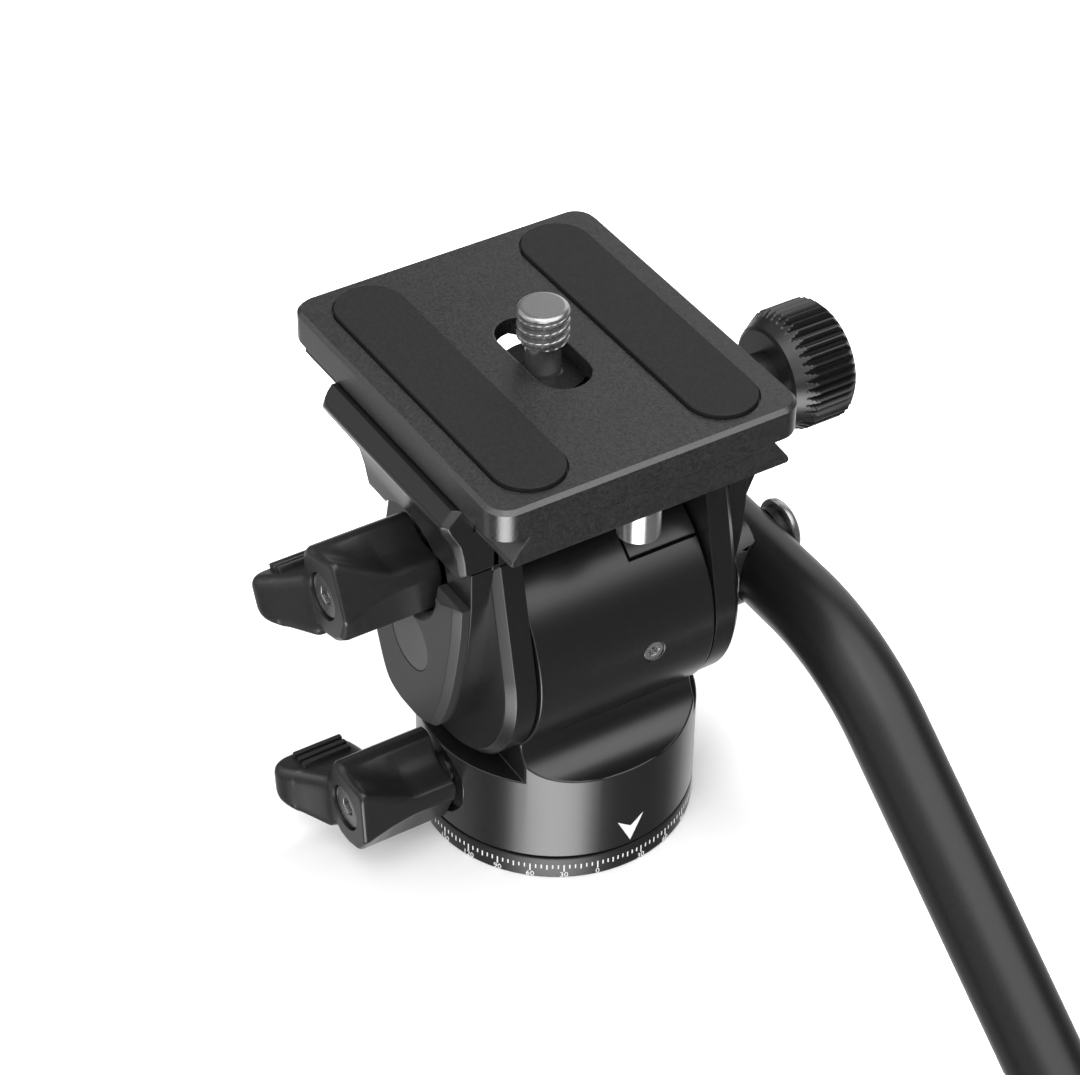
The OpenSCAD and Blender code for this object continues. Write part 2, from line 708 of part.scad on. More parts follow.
module qr_plate() {
    color([0.07, 0.07, 0.07]) difference() {
        union() {
            translate([0, plate_y, slab_lo]) linear_extrude(slab_t - 0.5) plate_plan(0);
            translate([0, plate_y, plate_hi - 0.5]) linear_extrude(0.5) plate_plan(0.5);
            slab_y(plate_y - plate_l / 2, plate_y + plate_l / 2) dove_plan();
        }
        translate([0, plate_y, plate_lo - 1]) linear_extrude(20) stadium(slot_half, slot_l);
        translate([0, plate_y, plate_lo - 1]) linear_extrude(plate_hi - slot_lip - plate_lo + 1)
            stadium(6, 33);
        for (s = [-1, 1]) translate([s * pad_x, plate_y, plate_hi - 0.6]) linear_extrude(2)
            stadium(pad_half + seat, plate_l - 3.7);
        for (s = [-1, 1]) translate([0, plate_y + s * stop_y, plate_lo - 1])
            cylinder(r = stop_r * 0.47 + seat, h = dove_h + 0.9);
    }
}

module grip_pads() {
    color([0.05, 0.05, 0.05]) for (s = [-1, 1]) translate([s * pad_x, plate_y, plate_hi - 0.6])
        linear_extrude(0.6 + pad_proud) stadium(pad_half, plate_l - 3.76);
}

module stop_screws() {
    color([0.7, 0.7, 0.72]) for (s = [-1, 1]) translate([0, plate_y + s * stop_y, 0]) {
        translate([0, 0, plate_lo - stop_h]) difference() {
            cylinder(r = stop_r, h = stop_h - seat);
            translate([0, 0, -1]) cylinder(r = stop_r * 0.5, h = 2.6, $fn = 6);
        }
        translate([0, 0, plate_lo - 1]) cylinder(r = stop_r * 0.47, h = dove_h + 0.7);
    }
}

module screw_washer() {
    color([0.3, 0.3, 0.31]) translate([0, plate_y, plate_hi - slot_lip - 0.6]) difference() {
        cylinder(r = cam_head_r + 0.4, h = 0.6);
        translate([0, 0, -1]) cylinder(r = cam_neck_r + run, h = 3);
    }
}

module camera_screw() {
    color([0.7, 0.7, 0.72]) translate([0, plate_y, 0]) difference() {
        union() {
            translate([0, 0, plate_lo + 0.5]) cylinder(r = cam_head_r, h = slab_t + dove_h - slot_lip - 1.1);
            translate([0, 0, plate_lo + 4]) cylinder(r = cam_neck_r, h = plate_hi + cam_rise - plate_lo - 5);
            translate([0, 0, plate_hi + cam_rise - cam_thread_l])
                cylinder(r = cam_r, h = cam_thread_l - 0.5);
            translate([0, 0, plate_hi + cam_rise - 0.5]) cylinder(r1 = cam_r, r2 = cam_r - 0.5, h = 0.5);
        }
        translate([0, 0, plate_lo + 0.9]) cube([12, 1.4, 2.2], center = true);
    }
}

module pan_lever() {
    color([0.06, 0.06, 0.06]) translate([pan_lever_x, 0, pan_lever_z]) rotate([pan_lever_turn, 0, 0])
        lever_shape();
}

module pan_stud() {
    color([0.5, 0.5, 0.52]) difference() {
        bar_x(pan_lever_x - lever_l + 2.2, -bush_r - 0.6, 0, pan_lever_z, stud_r);
        bar_x(pan_lever_x - lever_l, pan_lever_x - lever_l + 8, 0, pan_lever_z, 1.2 + seat);
    }
}

module pan_stud_tip() {
    color([0.85, 0.85, 0.8]) bar_x(-bush_r - 0.6, -spindle_r - 0.15, 0, pan_lever_z, stud_r - 0.05);
}

module pan_lever_screw() {
    color([0.6, 0.6, 0.62]) translate([pan_lever_x - lever_l, 0, pan_lever_z]) difference() {
        union() {
            bar_x(0.4, 1.9, 0, 0, lever_screw_r);
            bar_x(0.4, 7.6, 0, 0, 1.2);
        }
        bar_x(-1, 1.3, 0, 0, lever_screw_r * 0.45, $fn = 6);
    }
}

module tilt_lever() {
    color([0.06, 0.06, 0.06]) translate([tilt_lever_x, 0, tilt_lever_z]) rotate([tilt_lever_turn, 0, 0])
        lever_shape();
}

module tilt_stud() {
    color([0.5, 0.5, 0.52]) difference() {
        bar_x(tilt_lever_x - lever_l + 2.2, -arm_in - 1.6, 0, tilt_lever_z, stud_r);
        bar_x(tilt_lever_x - lever_l, tilt_lever_x - lever_l + 8, 0, tilt_lever_z, 1.2 + seat);
    }
}

module tilt_stud_tip() {
    color([0.85, 0.85, 0.8]) bar_x(-arm_in - 1.6, -drum_half - 0.15, 0, tilt_lever_z, stud_r - 0.05);
}

module tilt_lever_screw() {
    color([0.6, 0.6, 0.62]) translate([tilt_lever_x - lever_l, 0, tilt_lever_z]) difference() {
        union() {
            bar_x(0.4, 1.9, 0, 0, lever_screw_r);
            bar_x(0.4, 7.6, 0, 0, 1.2);
        }
        bar_x(-1, 1.3, 0, 0, lever_screw_r * 0.45, $fn = 6);
    }
}

module rosette() {
    color([0.07, 0.07, 0.07]) difference() {
        bar_x(boss_out, rosette_x, 0, handle_z, rosette_r);
        bar_x(boss_out - 1, rosette_x + 1, 0, handle_z, bolt_r + run);
        for (k = [0 : 11]) translate([rosette_x, 0, handle_z]) rotate([k * 30 + 15, 0, 0])
            translate([0, rosette_r - 1.2, 0]) rotate([0, 45, 0]) cube([0.9, 4, 0.9], center = true);
    }
}

module handle_saddle() {
    color([0.07, 0.07, 0.07]) difference() {
        bar_x(saddle_x, tube_x - 1.6, 0, handle_z, rosette_r);
        translate([tube_x, 0, handle_z]) rotate([90, 0, 0])
            cylinder(r = tube_r + seat, h = far, center = true);
        bar_x(saddle_x - 1, tube_x, 0, handle_z, bolt_r + run);
    }
}

module handle_tube() {
    color([0.06, 0.06, 0.06]) difference() {
        bent_tube(tube_r, tube_end_y, straight_l);
        bent_tube(tube_r - tube_wall, tube_end_y + 1, straight_l + 1);
        bar_x(tube_x - 12, tube_x + 12, 0, handle_z, bolt_r + run);
    }
}

module tube_plug() {
    color([0.05, 0.05, 0.05]) translate([tube_x, 0, handle_z]) rotate([-90, 0, 0]) {
        translate([0, 0, tube_end_y]) cylinder(r = tube_r, h = 1.2);
        translate([0, 0, tube_end_y - 4]) cylinder(r = tube_r - tube_wall - seat, h = 4.5);
    }
}

module bolt_washer() {
    color([0.3, 0.3, 0.31]) difference() {
        bar_x(tube_x + tube_r - 0.9, bolt_head_x, 0, handle_z, bolt_head_r - 0.8);
        translate([tube_x, 0, handle_z]) rotate([90, 0, 0])
            cylinder(r = tube_r + seat, h = far, center = true);
        bar_x(tube_x, bolt_head_x + 1, 0, handle_z, bolt_r + run);
    }
}

module handle_bolt() {
    color([0.45, 0.45, 0.46]) difference() {
        union() {
            bar_x(arm_out + 0.5, bolt_head_x + 0.5, 0, handle_z, bolt_r);
            bar_x(bolt_head_x, bolt_head_x + bolt_head_h - 0.8, 0, handle_z, bolt_head_r);
            translate([bolt_head_x + bolt_head_h - 0.8, 0, handle_z]) rotate([0, 90, 0])
                cylinder(r1 = bolt_head_r, r2 = bolt_head_r - 1, h = 0.8);
        }
        bar_x(bolt_head_x + 0.6, bolt_head_x + 5, 0, handle_z, 1.5, $fn = 6);
    }
}

module handle_grip() {
    color([0.05, 0.05, 0.05]) on_grip(straight_l - grip_l) difference() {
        union() {
            cylinder(r1 = grip_r - 1.6, r2 = grip_r, h = 5);
            translate([0, 0, 5]) cylinder(r = grip_r, h = grip_l - 5);
        }
        translate([0, 0, -1]) cylinder(r = tube_r + seat, h = grip_l + 2);
        for (i = [0 : groove_n - 1]) translate([0, 0, 9 + i * groove_gap]) difference() {
            cylinder(r = grip_r + 1, h = groove_w);
            translate([0, 0, -1]) cylinder(r = grip_r - groove_d, h = groove_w + 2);
        }
    }
}

module grip_cap() {
    color([0.06, 0.06, 0.06]) on_grip(straight_l) {
        cylinder(r1 = grip_r, r2 = grip_r - 1.5, h = 2.5);
        translate([0, 0, -8]) cylinder(r = tube_r - tube_wall - seat, h = 8.5);
    }
}

scale_ring();
pan_spindle();
clamp_disc();
base_screws();
pan_keeper();
keeper_screw();
pan_washer();
head_body();
pan_bushing();
drum_inlay();
grub_screw();
tilt_bearings();
tilt_shaft();
tilt_rotor();
shaft_screw();
yoke();
tilt_cover();
cover_cap();
cover_screws();
jaw();
guide_pins();
clamp_screw();
clamp_knob();
qr_plate();
grip_pads();
stop_screws();
screw_washer();
camera_screw();
pan_lever();
pan_stud();
pan_stud_tip();
pan_lever_screw();
tilt_lever();
tilt_stud();
tilt_stud_tip();
tilt_lever_screw();
rosette();
handle_saddle();
handle_tube();
tube_plug();
bolt_washer();
handle_bolt();
handle_grip();
grip_cap();
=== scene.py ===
import bpy
import json
import math
from mathutils import Matrix, Vector


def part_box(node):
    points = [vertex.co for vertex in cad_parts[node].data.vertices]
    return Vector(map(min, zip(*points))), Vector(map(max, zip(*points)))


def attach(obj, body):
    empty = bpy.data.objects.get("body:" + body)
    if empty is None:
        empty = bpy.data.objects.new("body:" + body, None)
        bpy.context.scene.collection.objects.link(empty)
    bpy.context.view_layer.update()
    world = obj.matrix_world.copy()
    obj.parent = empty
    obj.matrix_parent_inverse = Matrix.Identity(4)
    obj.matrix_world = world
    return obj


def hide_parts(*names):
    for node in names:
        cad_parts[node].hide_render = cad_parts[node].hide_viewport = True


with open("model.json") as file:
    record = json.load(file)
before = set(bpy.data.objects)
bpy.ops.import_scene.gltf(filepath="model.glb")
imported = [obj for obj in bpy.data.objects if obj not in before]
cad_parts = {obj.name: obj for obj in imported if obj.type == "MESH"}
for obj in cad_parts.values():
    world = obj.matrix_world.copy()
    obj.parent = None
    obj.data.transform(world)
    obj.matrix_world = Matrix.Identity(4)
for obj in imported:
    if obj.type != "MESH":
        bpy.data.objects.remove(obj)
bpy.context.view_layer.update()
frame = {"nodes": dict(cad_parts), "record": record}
scene = bpy.context.scene
slotOf = {row["node"]: row["material_slot"] for row in frame["record"]["subparts"]}
print("frame loaded:", len(frame["nodes"]), "nodes")

# camera as the photograph stands, frame taken as 1080 x 1075
cameraView = {
    "place": (-0.1663217, -0.2587366, 0.2912672),
    "right": (0.84995793, -0.52673346, 0.01110761),
    "up": (0.3256021, 0.54174564, 0.77491608),
    "back": (-0.41419173, -0.65502941, 0.63196652),
    "lens": 108.82,
}


def setCamera():
    data = bpy.data.cameras.new("photoCamera")
    data.sensor_width = 36
    data.lens = cameraView["lens"]
    data.clip_start, data.clip_end = 0.01, 50
    camera = bpy.data.objects.new("photoCamera", data)
    scene.collection.objects.link(camera)
    turn = Matrix((cameraView["right"], cameraView["up"], cameraView["back"])).transposed()
    camera.matrix_world = Matrix.Translation(cameraView["place"]) @ turn.to_4x4()
    scene.camera = camera


setCamera()
print("camera set")


# everyday moves: all modelling is in millimetres, finishPiece brings it to metres
def clearPick():
    if bpy.context.object and bpy.context.object.mode != "OBJECT":
        bpy.ops.object.mode_set(mode="OBJECT")
    bpy.ops.object.select_all(action="DESELECT")


def pickOnly(obj):
    clearPick()
    obj.select_set(True)
    bpy.context.view_layer.objects.active = obj


def editAll(obj):
    pickOnly(obj)
    bpy.ops.object.mode_set(mode="EDIT")
    bpy.ops.mesh.select_all(action="SELECT")


def backToObject():
    bpy.ops.object.mode_set(mode="OBJECT")


def newest(name):
    obj = bpy.context.object
    obj.name = name
    obj.data.name = name
    return obj


def applyModifier(obj, kind, **settings):
    modifier = obj.modifiers.new(kind.lower(), kind)
    for key, value in settings.items():
        setattr(modifier, key, value)
    pickOnly(obj)
    bpy.ops.object.modifier_apply(modifier=modifier.name)


def settle(obj, place):
    pickOnly(obj)
    obj.matrix_world = place
    bpy.ops.object.transform_apply(location=True, rotation=True, scale=True)


def alongX(x, y, z):
    return Matrix.Translation((x, y, z)) @ Matrix.Rotation(math.radians(90), 4, "Y")


# flat outline pushed out along one axis
def outlineSolid(name, points, axis, low, high):
    clearPick()
    bpy.ops.mesh.primitive_circle_add(vertices=len(points), radius=1, fill_type="NGON")
    obj = newest(name)
    spot = "XYZ".index(axis)
    for vert, (a, b) in zip(obj.data.vertices, points):
        place = [a, b]
        place.insert(spot, low)
        vert.co = place
    travel = [0, 0, 0]
    travel[spot] = high - low
    editAll(obj)
    bpy.ops.mesh.extrude_region_move(TRANSFORM_OT_translate={"value": travel})
    bpy.ops.mesh.select_all(action="SELECT")
    bpy.ops.mesh.normals_make_consistent(inside=False)
    backToObject()
    return obj


# closed rings joined into one skin with both ends filled
def loftRings(name, rings):
    count = len(rings[0])
    clearPick()
    bpy.ops.mesh.primitive_grid_add(x_subdivisions=count, y_subdivisions=len(rings) - 1, size=1)
    obj = newest(name)
    for row, ring in enumerate(rings):
        for column in range(count + 1):
            obj.data.vertices[row * (count + 1) + column].co = ring[column % count]
    editAll(obj)
    bpy.ops.mesh.remove_doubles(threshold=0.0001)
    bpy.ops.mesh.fill_holes(sides=0)
    bpy.ops.mesh.select_all(action="SELECT")
    bpy.ops.mesh.normals_make_consistent(inside=False)
    backToObject()
    return obj


# closed radius and height profile spun round Z, then put in place
def lathe(name, profile, place=None, steps=96):
    clearPick()
    bpy.ops.mesh.primitive_circle_add(vertices=len(profile), radius=1, fill_type="NOTHING")
    obj = newest(name)
    for vert, (radius, height) in zip(obj.data.vertices, profile):
        vert.co = (radius, 0, height)
    editAll(obj)
    bpy.ops.mesh.spin(steps=steps, angle=2 * math.pi, center=(0, 0, 0), axis=(0, 0, 1))
    bpy.ops.mesh.select_all(action="SELECT")
    bpy.ops.mesh.remove_doubles(threshold=0.0001)
    bpy.ops.mesh.delete_loose(use_verts=True, use_edges=True, use_faces=False)
    bpy.ops.mesh.select_all(action="SELECT")
    bpy.ops.mesh.normals_make_consistent(inside=False)
    backToObject()
    if place:
        settle(obj, place)
    return obj


def bevelWhere(obj, test, width, segments=2):
    pickOnly(obj)
    bpy.ops.object.mode_set(mode="EDIT")
    bpy.ops.mesh.select_mode(type="EDGE")
    bpy.ops.mesh.select_all(action="DESELECT")
    backToObject()
    verts = obj.data.vertices
    for edge in obj.data.edges:
        edge.select = bool(test(verts[edge.vertices[0]].co, verts[edge.vertices[1]].co))
    bpy.ops.object.mode_set(mode="EDIT")
    bpy.ops.mesh.bevel(offset=width, segments=segments, profile=0.5, affect="EDGES", clamp_overlap=False)
    backToObject()


def softEdges(obj, width, segments=2, angle=30):
    applyModifier(obj, "BEVEL", width=width, segments=segments, limit_method="ANGLE",
                  angle_limit=math.radians(angle), use_clamp_overlap=False)


def combine(obj, tool, operation="DIFFERENCE"):
    applyModifier(obj, "BOOLEAN", operation=operation, solver="EXACT", object=tool)
    bpy.data.objects.remove(tool)


def joinTo(first, *others):
    clearPick()
    for other in others:
        other.select_set(True)
    first.select_set(True)
    bpy.context.view_layer.objects.active = first
    bpy.ops.object.join()
    return first


# copy of a CAD node with its sharp edges eased
def easedNode(node, name, width, segments=2):
    obj = bpy.data.objects.new(name, frame["nodes"][node].data.copy())
    scene.collection.objects.link(obj)
    settle(obj, Matrix.Scale(1000, 4))
    editAll(obj)
    bpy.ops.mesh.remove_doubles(threshold=0.002)
    bpy.ops.mesh.dissolve_limited(angle_limit=math.radians(0.6))
    backToObject()
    softEdges(obj, width, segments)
    return obj


def finishPiece(obj, body, finish, nodes=(), smooth=32):
    settle(obj, Matrix.Scale(0.001, 4))
    obj.data.materials.clear()
    obj.data.materials.append(finish)
    pickOnly(obj)
    bpy.ops.object.shade_smooth_by_angle(angle=math.radians(smooth))
    applyModifier(obj, "WEIGHTED_NORMAL", weight=50, keep_sharp=True)
    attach(obj, body)
    if nodes:
        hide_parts(*nodes)


# shared surface effect: fine flecks, roughness that drifts and a height for bump
def makeSurfaceGrain():
    group = bpy.data.node_groups.new("surfaceGrain", "ShaderNodeTree")
    for name, value in (("Fine", 3000), ("Broad", 60), ("Roughness", 0.4), ("Spread", 0.08)):
        socket = group.interface.new_socket(name=name, in_out="INPUT", socket_type="NodeSocketFloat")
        socket.default_value = value
    for name in ("Fleck", "Roughness", "Height"):
        group.interface.new_socket(name=name, in_out="OUTPUT", socket_type="NodeSocketFloat")
    nodes, links = group.nodes, group.links
    enter = nodes.new("NodeGroupInput")
    leave = nodes.new("NodeGroupOutput")
    coords = nodes.new("ShaderNodeTexCoord")
    fine = nodes.new("ShaderNodeTexNoise")
    fine.inputs["Detail"].default_value = 3
    broad = nodes.new("ShaderNodeTexNoise")
    broad.inputs["Detail"].default_value = 4
    links.new(coords.outputs["Object"], fine.inputs["Vector"])
    links.new(coords.outputs["Object"], broad.inputs["Vector"])
    links.new(enter.outputs["Fine"], fine.inputs["Scale"])
    links.new(enter.outputs["Broad"], broad.inputs["Scale"])
    fleck = nodes.new("ShaderNodeMapRange")
    fleck.inputs["From Min"].default_value = 0.3
    fleck.inputs["From Max"].default_value = 0.7
    links.new(fine.outputs["Fac"], fleck.inputs["Value"])
    blend = nodes.new("ShaderNodeMath")
    blend.operation = "MULTIPLY_ADD"
    blend.inputs[1].default_value = 0.5
    links.new(fine.outputs["Fac"], blend.inputs[0])
    half = nodes.new("ShaderNodeMath")
    half.operation = "MULTIPLY"
    half.inputs[1].default_value = 0.5
    links.new(broad.outputs["Fac"], half.inputs[0])
    links.new(half.outputs[0], blend.inputs[2])
    centred = nodes.new("ShaderNodeMath")
    centred.operation = "SUBTRACT"
    centred.inputs[1].default_value = 0.5
    links.new(blend.outputs[0], centred.inputs[0])
    rough = nodes.new("ShaderNodeMath")
    rough.operation = "MULTIPLY_ADD"
    links.new(centred.outputs[0], rough.inputs[0])
    links.new(enter.outputs["Spread"], rough.inputs[1])
    links.new(enter.outputs["Roughness"], rough.inputs[2])
    links.new(fleck.outputs["Result"], leave.inputs["Fleck"])
    links.new(rough.outputs[0], leave.inputs["Roughness"])
    links.new(fine.outputs["Fac"], leave.inputs["Height"])
    return group


# shared surface effect: fine tool lines round an axis of the piece
def makeTurnedLines():
    group = bpy.data.node_groups.new("turnedLines", "ShaderNodeTree")
    group.interface.new_socket(name="Vector", in_out="INPUT", socket_type="NodeSocketVector")
    socket = group.interface.new_socket(name="Lines", in_out="INPUT", socket_type="NodeSocketFloat")
    socket.default_value = 6000
    group.interface.new_socket(name="Line", in_out="OUTPUT", socket_type="NodeSocketFloat")
    nodes, links = group.nodes, group.links
    enter = nodes.new("NodeGroupInput")
    leave = nodes.new("NodeGroupOutput")
    parts = nodes.new("ShaderNodeSeparateXYZ")
    links.new(enter.outputs["Vector"], parts.inputs[0])
    flat = nodes.new("ShaderNodeCombineXYZ")
    links.new(parts.outputs["X"], flat.inputs["X"])
    links.new(parts.outputs["Y"], flat.inputs["Y"])
    reach = nodes.new("ShaderNodeVectorMath")
    reach.operation = "LENGTH"
    links.new(flat.outputs[0], reach.inputs[0])
    total = nodes.new("ShaderNodeMath")
    total.operation = "ADD"
    links.new(reach.outputs["Value"], total.inputs[0])
    links.new(parts.outputs["Z"], total.inputs[1])
    noise = nodes.new("ShaderNodeTexNoise")
    noise.noise_dimensions = "1D"
    noise.inputs["Detail"].default_value = 2
    links.new(total.outputs[0], noise.inputs["W"])
    links.new(enter.outputs["Lines"], noise.inputs["Scale"])
    links.new(noise.outputs["Fac"], leave.inputs["Line"])
    return group


surfaceGrain = makeSurfaceGrain()
turnedLines = makeTurnedLines()

# finishes: dark and light ends of the colour, roughness and its spread, grain sizes per metre, bump in tenths of a mm
finishes = {
    "blackAnodised": {"dark": 0.006, "light": 0.011, "rough": 0.29, "spread": 0.10, "fine": 5200,
                      "broad": 70, "bump": 0.10, "metal": 0, "ior": 1.8},
    "plateAnodised": {"dark": 0.002, "light": 0.022, "rough": 0.31, "spread": 0.20, "fine": 3400,
                      "broad": 90, "bump": 0.30, "metal": 0, "ior": 2.15},
    "yokeAnodised": {"dark": 0.006, "light": 0.011, "rough": 0.29, "spread": 0.10, "fine": 5200,
                     "broad": 70, "bump": 0.10, "metal": 0, "ior": 1.66},
    "ringAnodised": {"dark": 0.006, "light": 0.011, "rough": 0.40, "spread": 0.10, "fine": 5200,
                     "broad": 70, "bump": 0.10, "metal": 0, "ior": 1.62},
    "coverAnodised": {"dark": 0.022, "light": 0.031, "rough": 0.42, "spread": 0.10, "fine": 5200,
                      "broad": 70, "bump": 0.10, "metal": 0, "ior": 1.6},
    "leverPlastic": {"dark": 0.010, "light": 0.016, "rough": 0.34, "spread": 0.10, "fine": 3600,
                     "broad": 110, "bump": 0.14, "metal": 0, "ior": 1.68},
    "capPlastic": {"dark": 0.075, "light": 0.09, "rough": 0.5, "spread": 0.10, "fine": 3600,
                   "broad": 110, "bump": 0.12, "metal": 0, "ior": 1.5},
    "knobBlack": {"dark": 0.006, "light": 0.011, "rough": 0.29, "spread": 0.10, "fine": 4800,
                  "broad": 90, "bump": 0.10, "metal": 0, "ior": 1.7},
    "padRubber": {"dark": 0.010, "light": 0.016, "rough": 0.62, "spread": 0.10, "fine": 3000,
                  "broad": 60, "bump": 0.20, "metal": 0, "ior": 1.45},
    "tubeBlack": {"dark": 0.006, "light": 0.010, "rough": 0.33, "spread": 0.08, "fine": 4200,
                  "broad": 50, "bump": 0.12, "metal": 0, "ior": 1.6},
    "gripRubber": {"dark": 0.012, "light": 0.022, "rough": 0.7, "spread": 0.12, "fine": 2200,
                   "broad": 80, "bump": 0.4, "metal": 0, "ior": 1.45},
    "darkSteel": {"dark": 0.025, "light": 0.045, "rough": 0.36, "spread": 0.12, "fine": 3800,
                  "broad": 120, "bump": 0.08, "metal": 0.8, "ior": 1.5},
    "bronze": {"dark": (0.40, 0.26, 0.10), "light": (0.52, 0.36, 0.16), "rough": 0.38, "spread": 0.14,
               "fine": 3600, "broad": 160, "bump": 0.08, "metal": 1, "ior": 1.5},
    "nylon": {"dark": (0.62, 0.61, 0.57), "light": (0.74, 0.73, 0.69), "rough": 0.5, "spread": 0.1,
              "fine": 3000, "broad": 120, "bump": 0.08, "metal": 0, "ior": 1.5},
    "whitePaint": {"dark": 0.80, "light": 0.92, "rough": 0.55, "spread": 0.1, "fine": 9000,
                   "broad": 900, "bump": 0.02, "metal": 0, "ior": 1.45},
}


def asColour(value):
    return (value, value, value, 1) if isinstance(value, (int, float)) else (*value, 1)


def makeFinish(name, look):
    material = bpy.data.materials.new(name)
    material.use_nodes = True
    nodes, links = material.node_tree.nodes, material.node_tree.links
    shader = nodes["Principled BSDF"]
    grain = nodes.new("ShaderNodeGroup")
    grain.node_tree = surfaceGrain
    grain.inputs["Fine"].default_value = look["fine"]
    grain.inputs["Broad"].default_value = look["broad"]
    grain.inputs["Roughness"].default_value = look["rough"]
    grain.inputs["Spread"].default_value = look["spread"]
    colours = nodes.new("ShaderNodeMix")
    colours.data_type = "RGBA"
    colours.inputs["A"].default_value = asColour(look["dark"])
    colours.inputs["B"].default_value = asColour(look["light"])
    links.new(grain.outputs["Fleck"], colours.inputs["Factor"])
    links.new(colours.outputs["Result"], shader.inputs["Base Color"])
    links.new(grain.outputs["Roughness"], shader.inputs["Roughness"])
    bump = nodes.new("ShaderNodeBump")
    bump.inputs["Strength"].default_value = 0.5
    bump.inputs["Distance"].default_value = look["bump"] * 0.0001
    links.new(grain.outputs["Height"], bump.inputs["Height"])
    links.new(bump.outputs["Normal"], shader.inputs["Normal"])
    shader.inputs["Metallic"].default_value = look["metal"]
    shader.inputs["IOR"].default_value = look["ior"]
    return material


# turned steel: grain plus tool lines about an upright or a cross axis
turnedSteel = {"dark": 0.52, "light": 0.58, "rough": 0.22, "spread": 0.06, "fine": 5200, "broad": 150,
               "bump": 0.015, "metal": 0.9, "ior": 1.5, "lines": 5200, "lineBump": 0.000006}


def makeSteel(name, centre, turn, share=1):
    look = dict(turnedSteel, dark=turnedSteel["dark"] * share, light=turnedSteel["light"] * share)
    material = makeFinish(name, look)
    nodes, links = material.node_tree.nodes, material.node_tree.links
    shader = nodes["Principled BSDF"]
    coords = nodes.new("ShaderNodeTexCoord")
    shift = nodes.new("ShaderNodeVectorMath")
    shift.operation = "SUBTRACT"
    shift.inputs[1].default_value = centre
    links.new(coords.outputs["Object"], shift.inputs[0])
    mapping = nodes.new("ShaderNodeMapping")
    mapping.inputs["Rotation"].default_value = turn
    links.new(shift.outputs[0], mapping.inputs["Vector"])
    lines = nodes.new("ShaderNodeGroup")
    lines.node_tree = turnedLines
    lines.inputs["Lines"].default_value = turnedSteel["lines"]
    links.new(mapping.outputs[0], lines.inputs["Vector"])
    bump = nodes.new("ShaderNodeBump")
    bump.inputs["Strength"].default_value = 0.35
    bump.inputs["Distance"].default_value = turnedSteel["lineBump"]
    links.new(lines.outputs["Line"], bump.inputs["Height"])
    links.new(nodes["Bump"].outputs["Normal"], bump.inputs["Normal"])
    links.new(bump.outputs["Normal"], shader.inputs["Normal"])
    return material


looks = {name: makeFinish(name, look) for name, look in finishes.items()}
looks["steelUpright"] = makeSteel("steelUpright", (0, 0.00426, 0), (0, 0, 0))
looks["steelCross"] = makeSteel("steelCross", (0, 0, 0.0103), (0, math.radians(90), 0))
looks["steelDull"] = makeSteel("steelDull", (0, 0, 0.0103), (0, math.radians(90), 0), 0.5)
slotLook = {"anodised": "blackAnodised", "steel": "steelUpright", "dark_steel": "darkSteel", "bronze": "bronze",
            "nylon": "nylon", "lever_plastic": "leverPlastic", "knob_black": "knobBlack",
            "pad_rubber": "padRubber", "tube_black": "tubeBlack"}
for node, obj in frame["nodes"].items():
    obj.data.materials.clear()
    obj.data.materials.append(looks[slotLook[slotOf[node]]])
print("finishes made:", len(looks))

# base: scale ring with its marks
scaleRing = {"radius": 17.75, "height": 3.3, "bore": 10.53, "discBore": 13.18, "discDepth": 1.6, "edge": 0.28}


def buildScaleRing():
    r, h, e = scaleRing["radius"], scaleRing["height"], scaleRing["edge"]
    profile = [(scaleRing["discBore"], 0), (r - e, 0), (r - 0.08, 0.09), (r, e), (r, h - e), (r - 0.08, h - 0.09),
               (r - e, h), (scaleRing["bore"], h), (scaleRing["bore"], scaleRing["discDepth"]),
               (scaleRing["discBore"], scaleRing["discDepth"])]
    ring = lathe("scaleRing", profile, steps=180)
    finishPiece(ring, "base", looks["ringAnodised"], ["scale_ring"])


# labels by angle round the ring, those in the photo and then the rest; sizes of the marks
scaleMarks = {
    "labels": [(-187.0, "180"), (-173.2, "150"), (-159.5, "120"), (-145.7, "90"), (-131.9, "60"), (-118.1, "30"),
               (-104.2, "0"), (-84.2, "30"), (-70.0, "60"), (-56.1, "90"), (-42.3, "120"), (-28.5, "150"),
               (-14.7, "180")],
    "rest": [(-0.8, "150"), (13.0, "120"), (26.8, "90"), (40.6, "60"), (54.4, "30"), (68.2, "0"), (82.0, "30"),
             (95.8, "60"), (109.6, "90"), (123.4, "120"), (137.2, "150"), (151.0, "180"), (162.0, "150")],
    "step": 2.3, "width": 0.17, "top": 2.2, "short": 0.62, "middle": 0.8, "long": 1.12,
    "figure": 1.12, "figureLow": 0.2, "proud": 0.02,
}


def onRing(angle, height, radius):
    return Vector((radius * math.cos(angle), radius * math.sin(angle), height))


def tickMark(angle, length):
    half = scaleMarks["width"] / 2 / scaleRing["radius"]
    top = scaleMarks["top"]
    low, high = scaleRing["radius"] - 0.1, scaleRing["radius"] + scaleMarks["proud"]
    corners = [(-half, top - length), (half, top - length), (half, top), (-half, top)]
    rings = [[onRing(angle + a, z, radius) for a, z in corners] for radius in (low, high)]
    return loftRings("tick", rings)


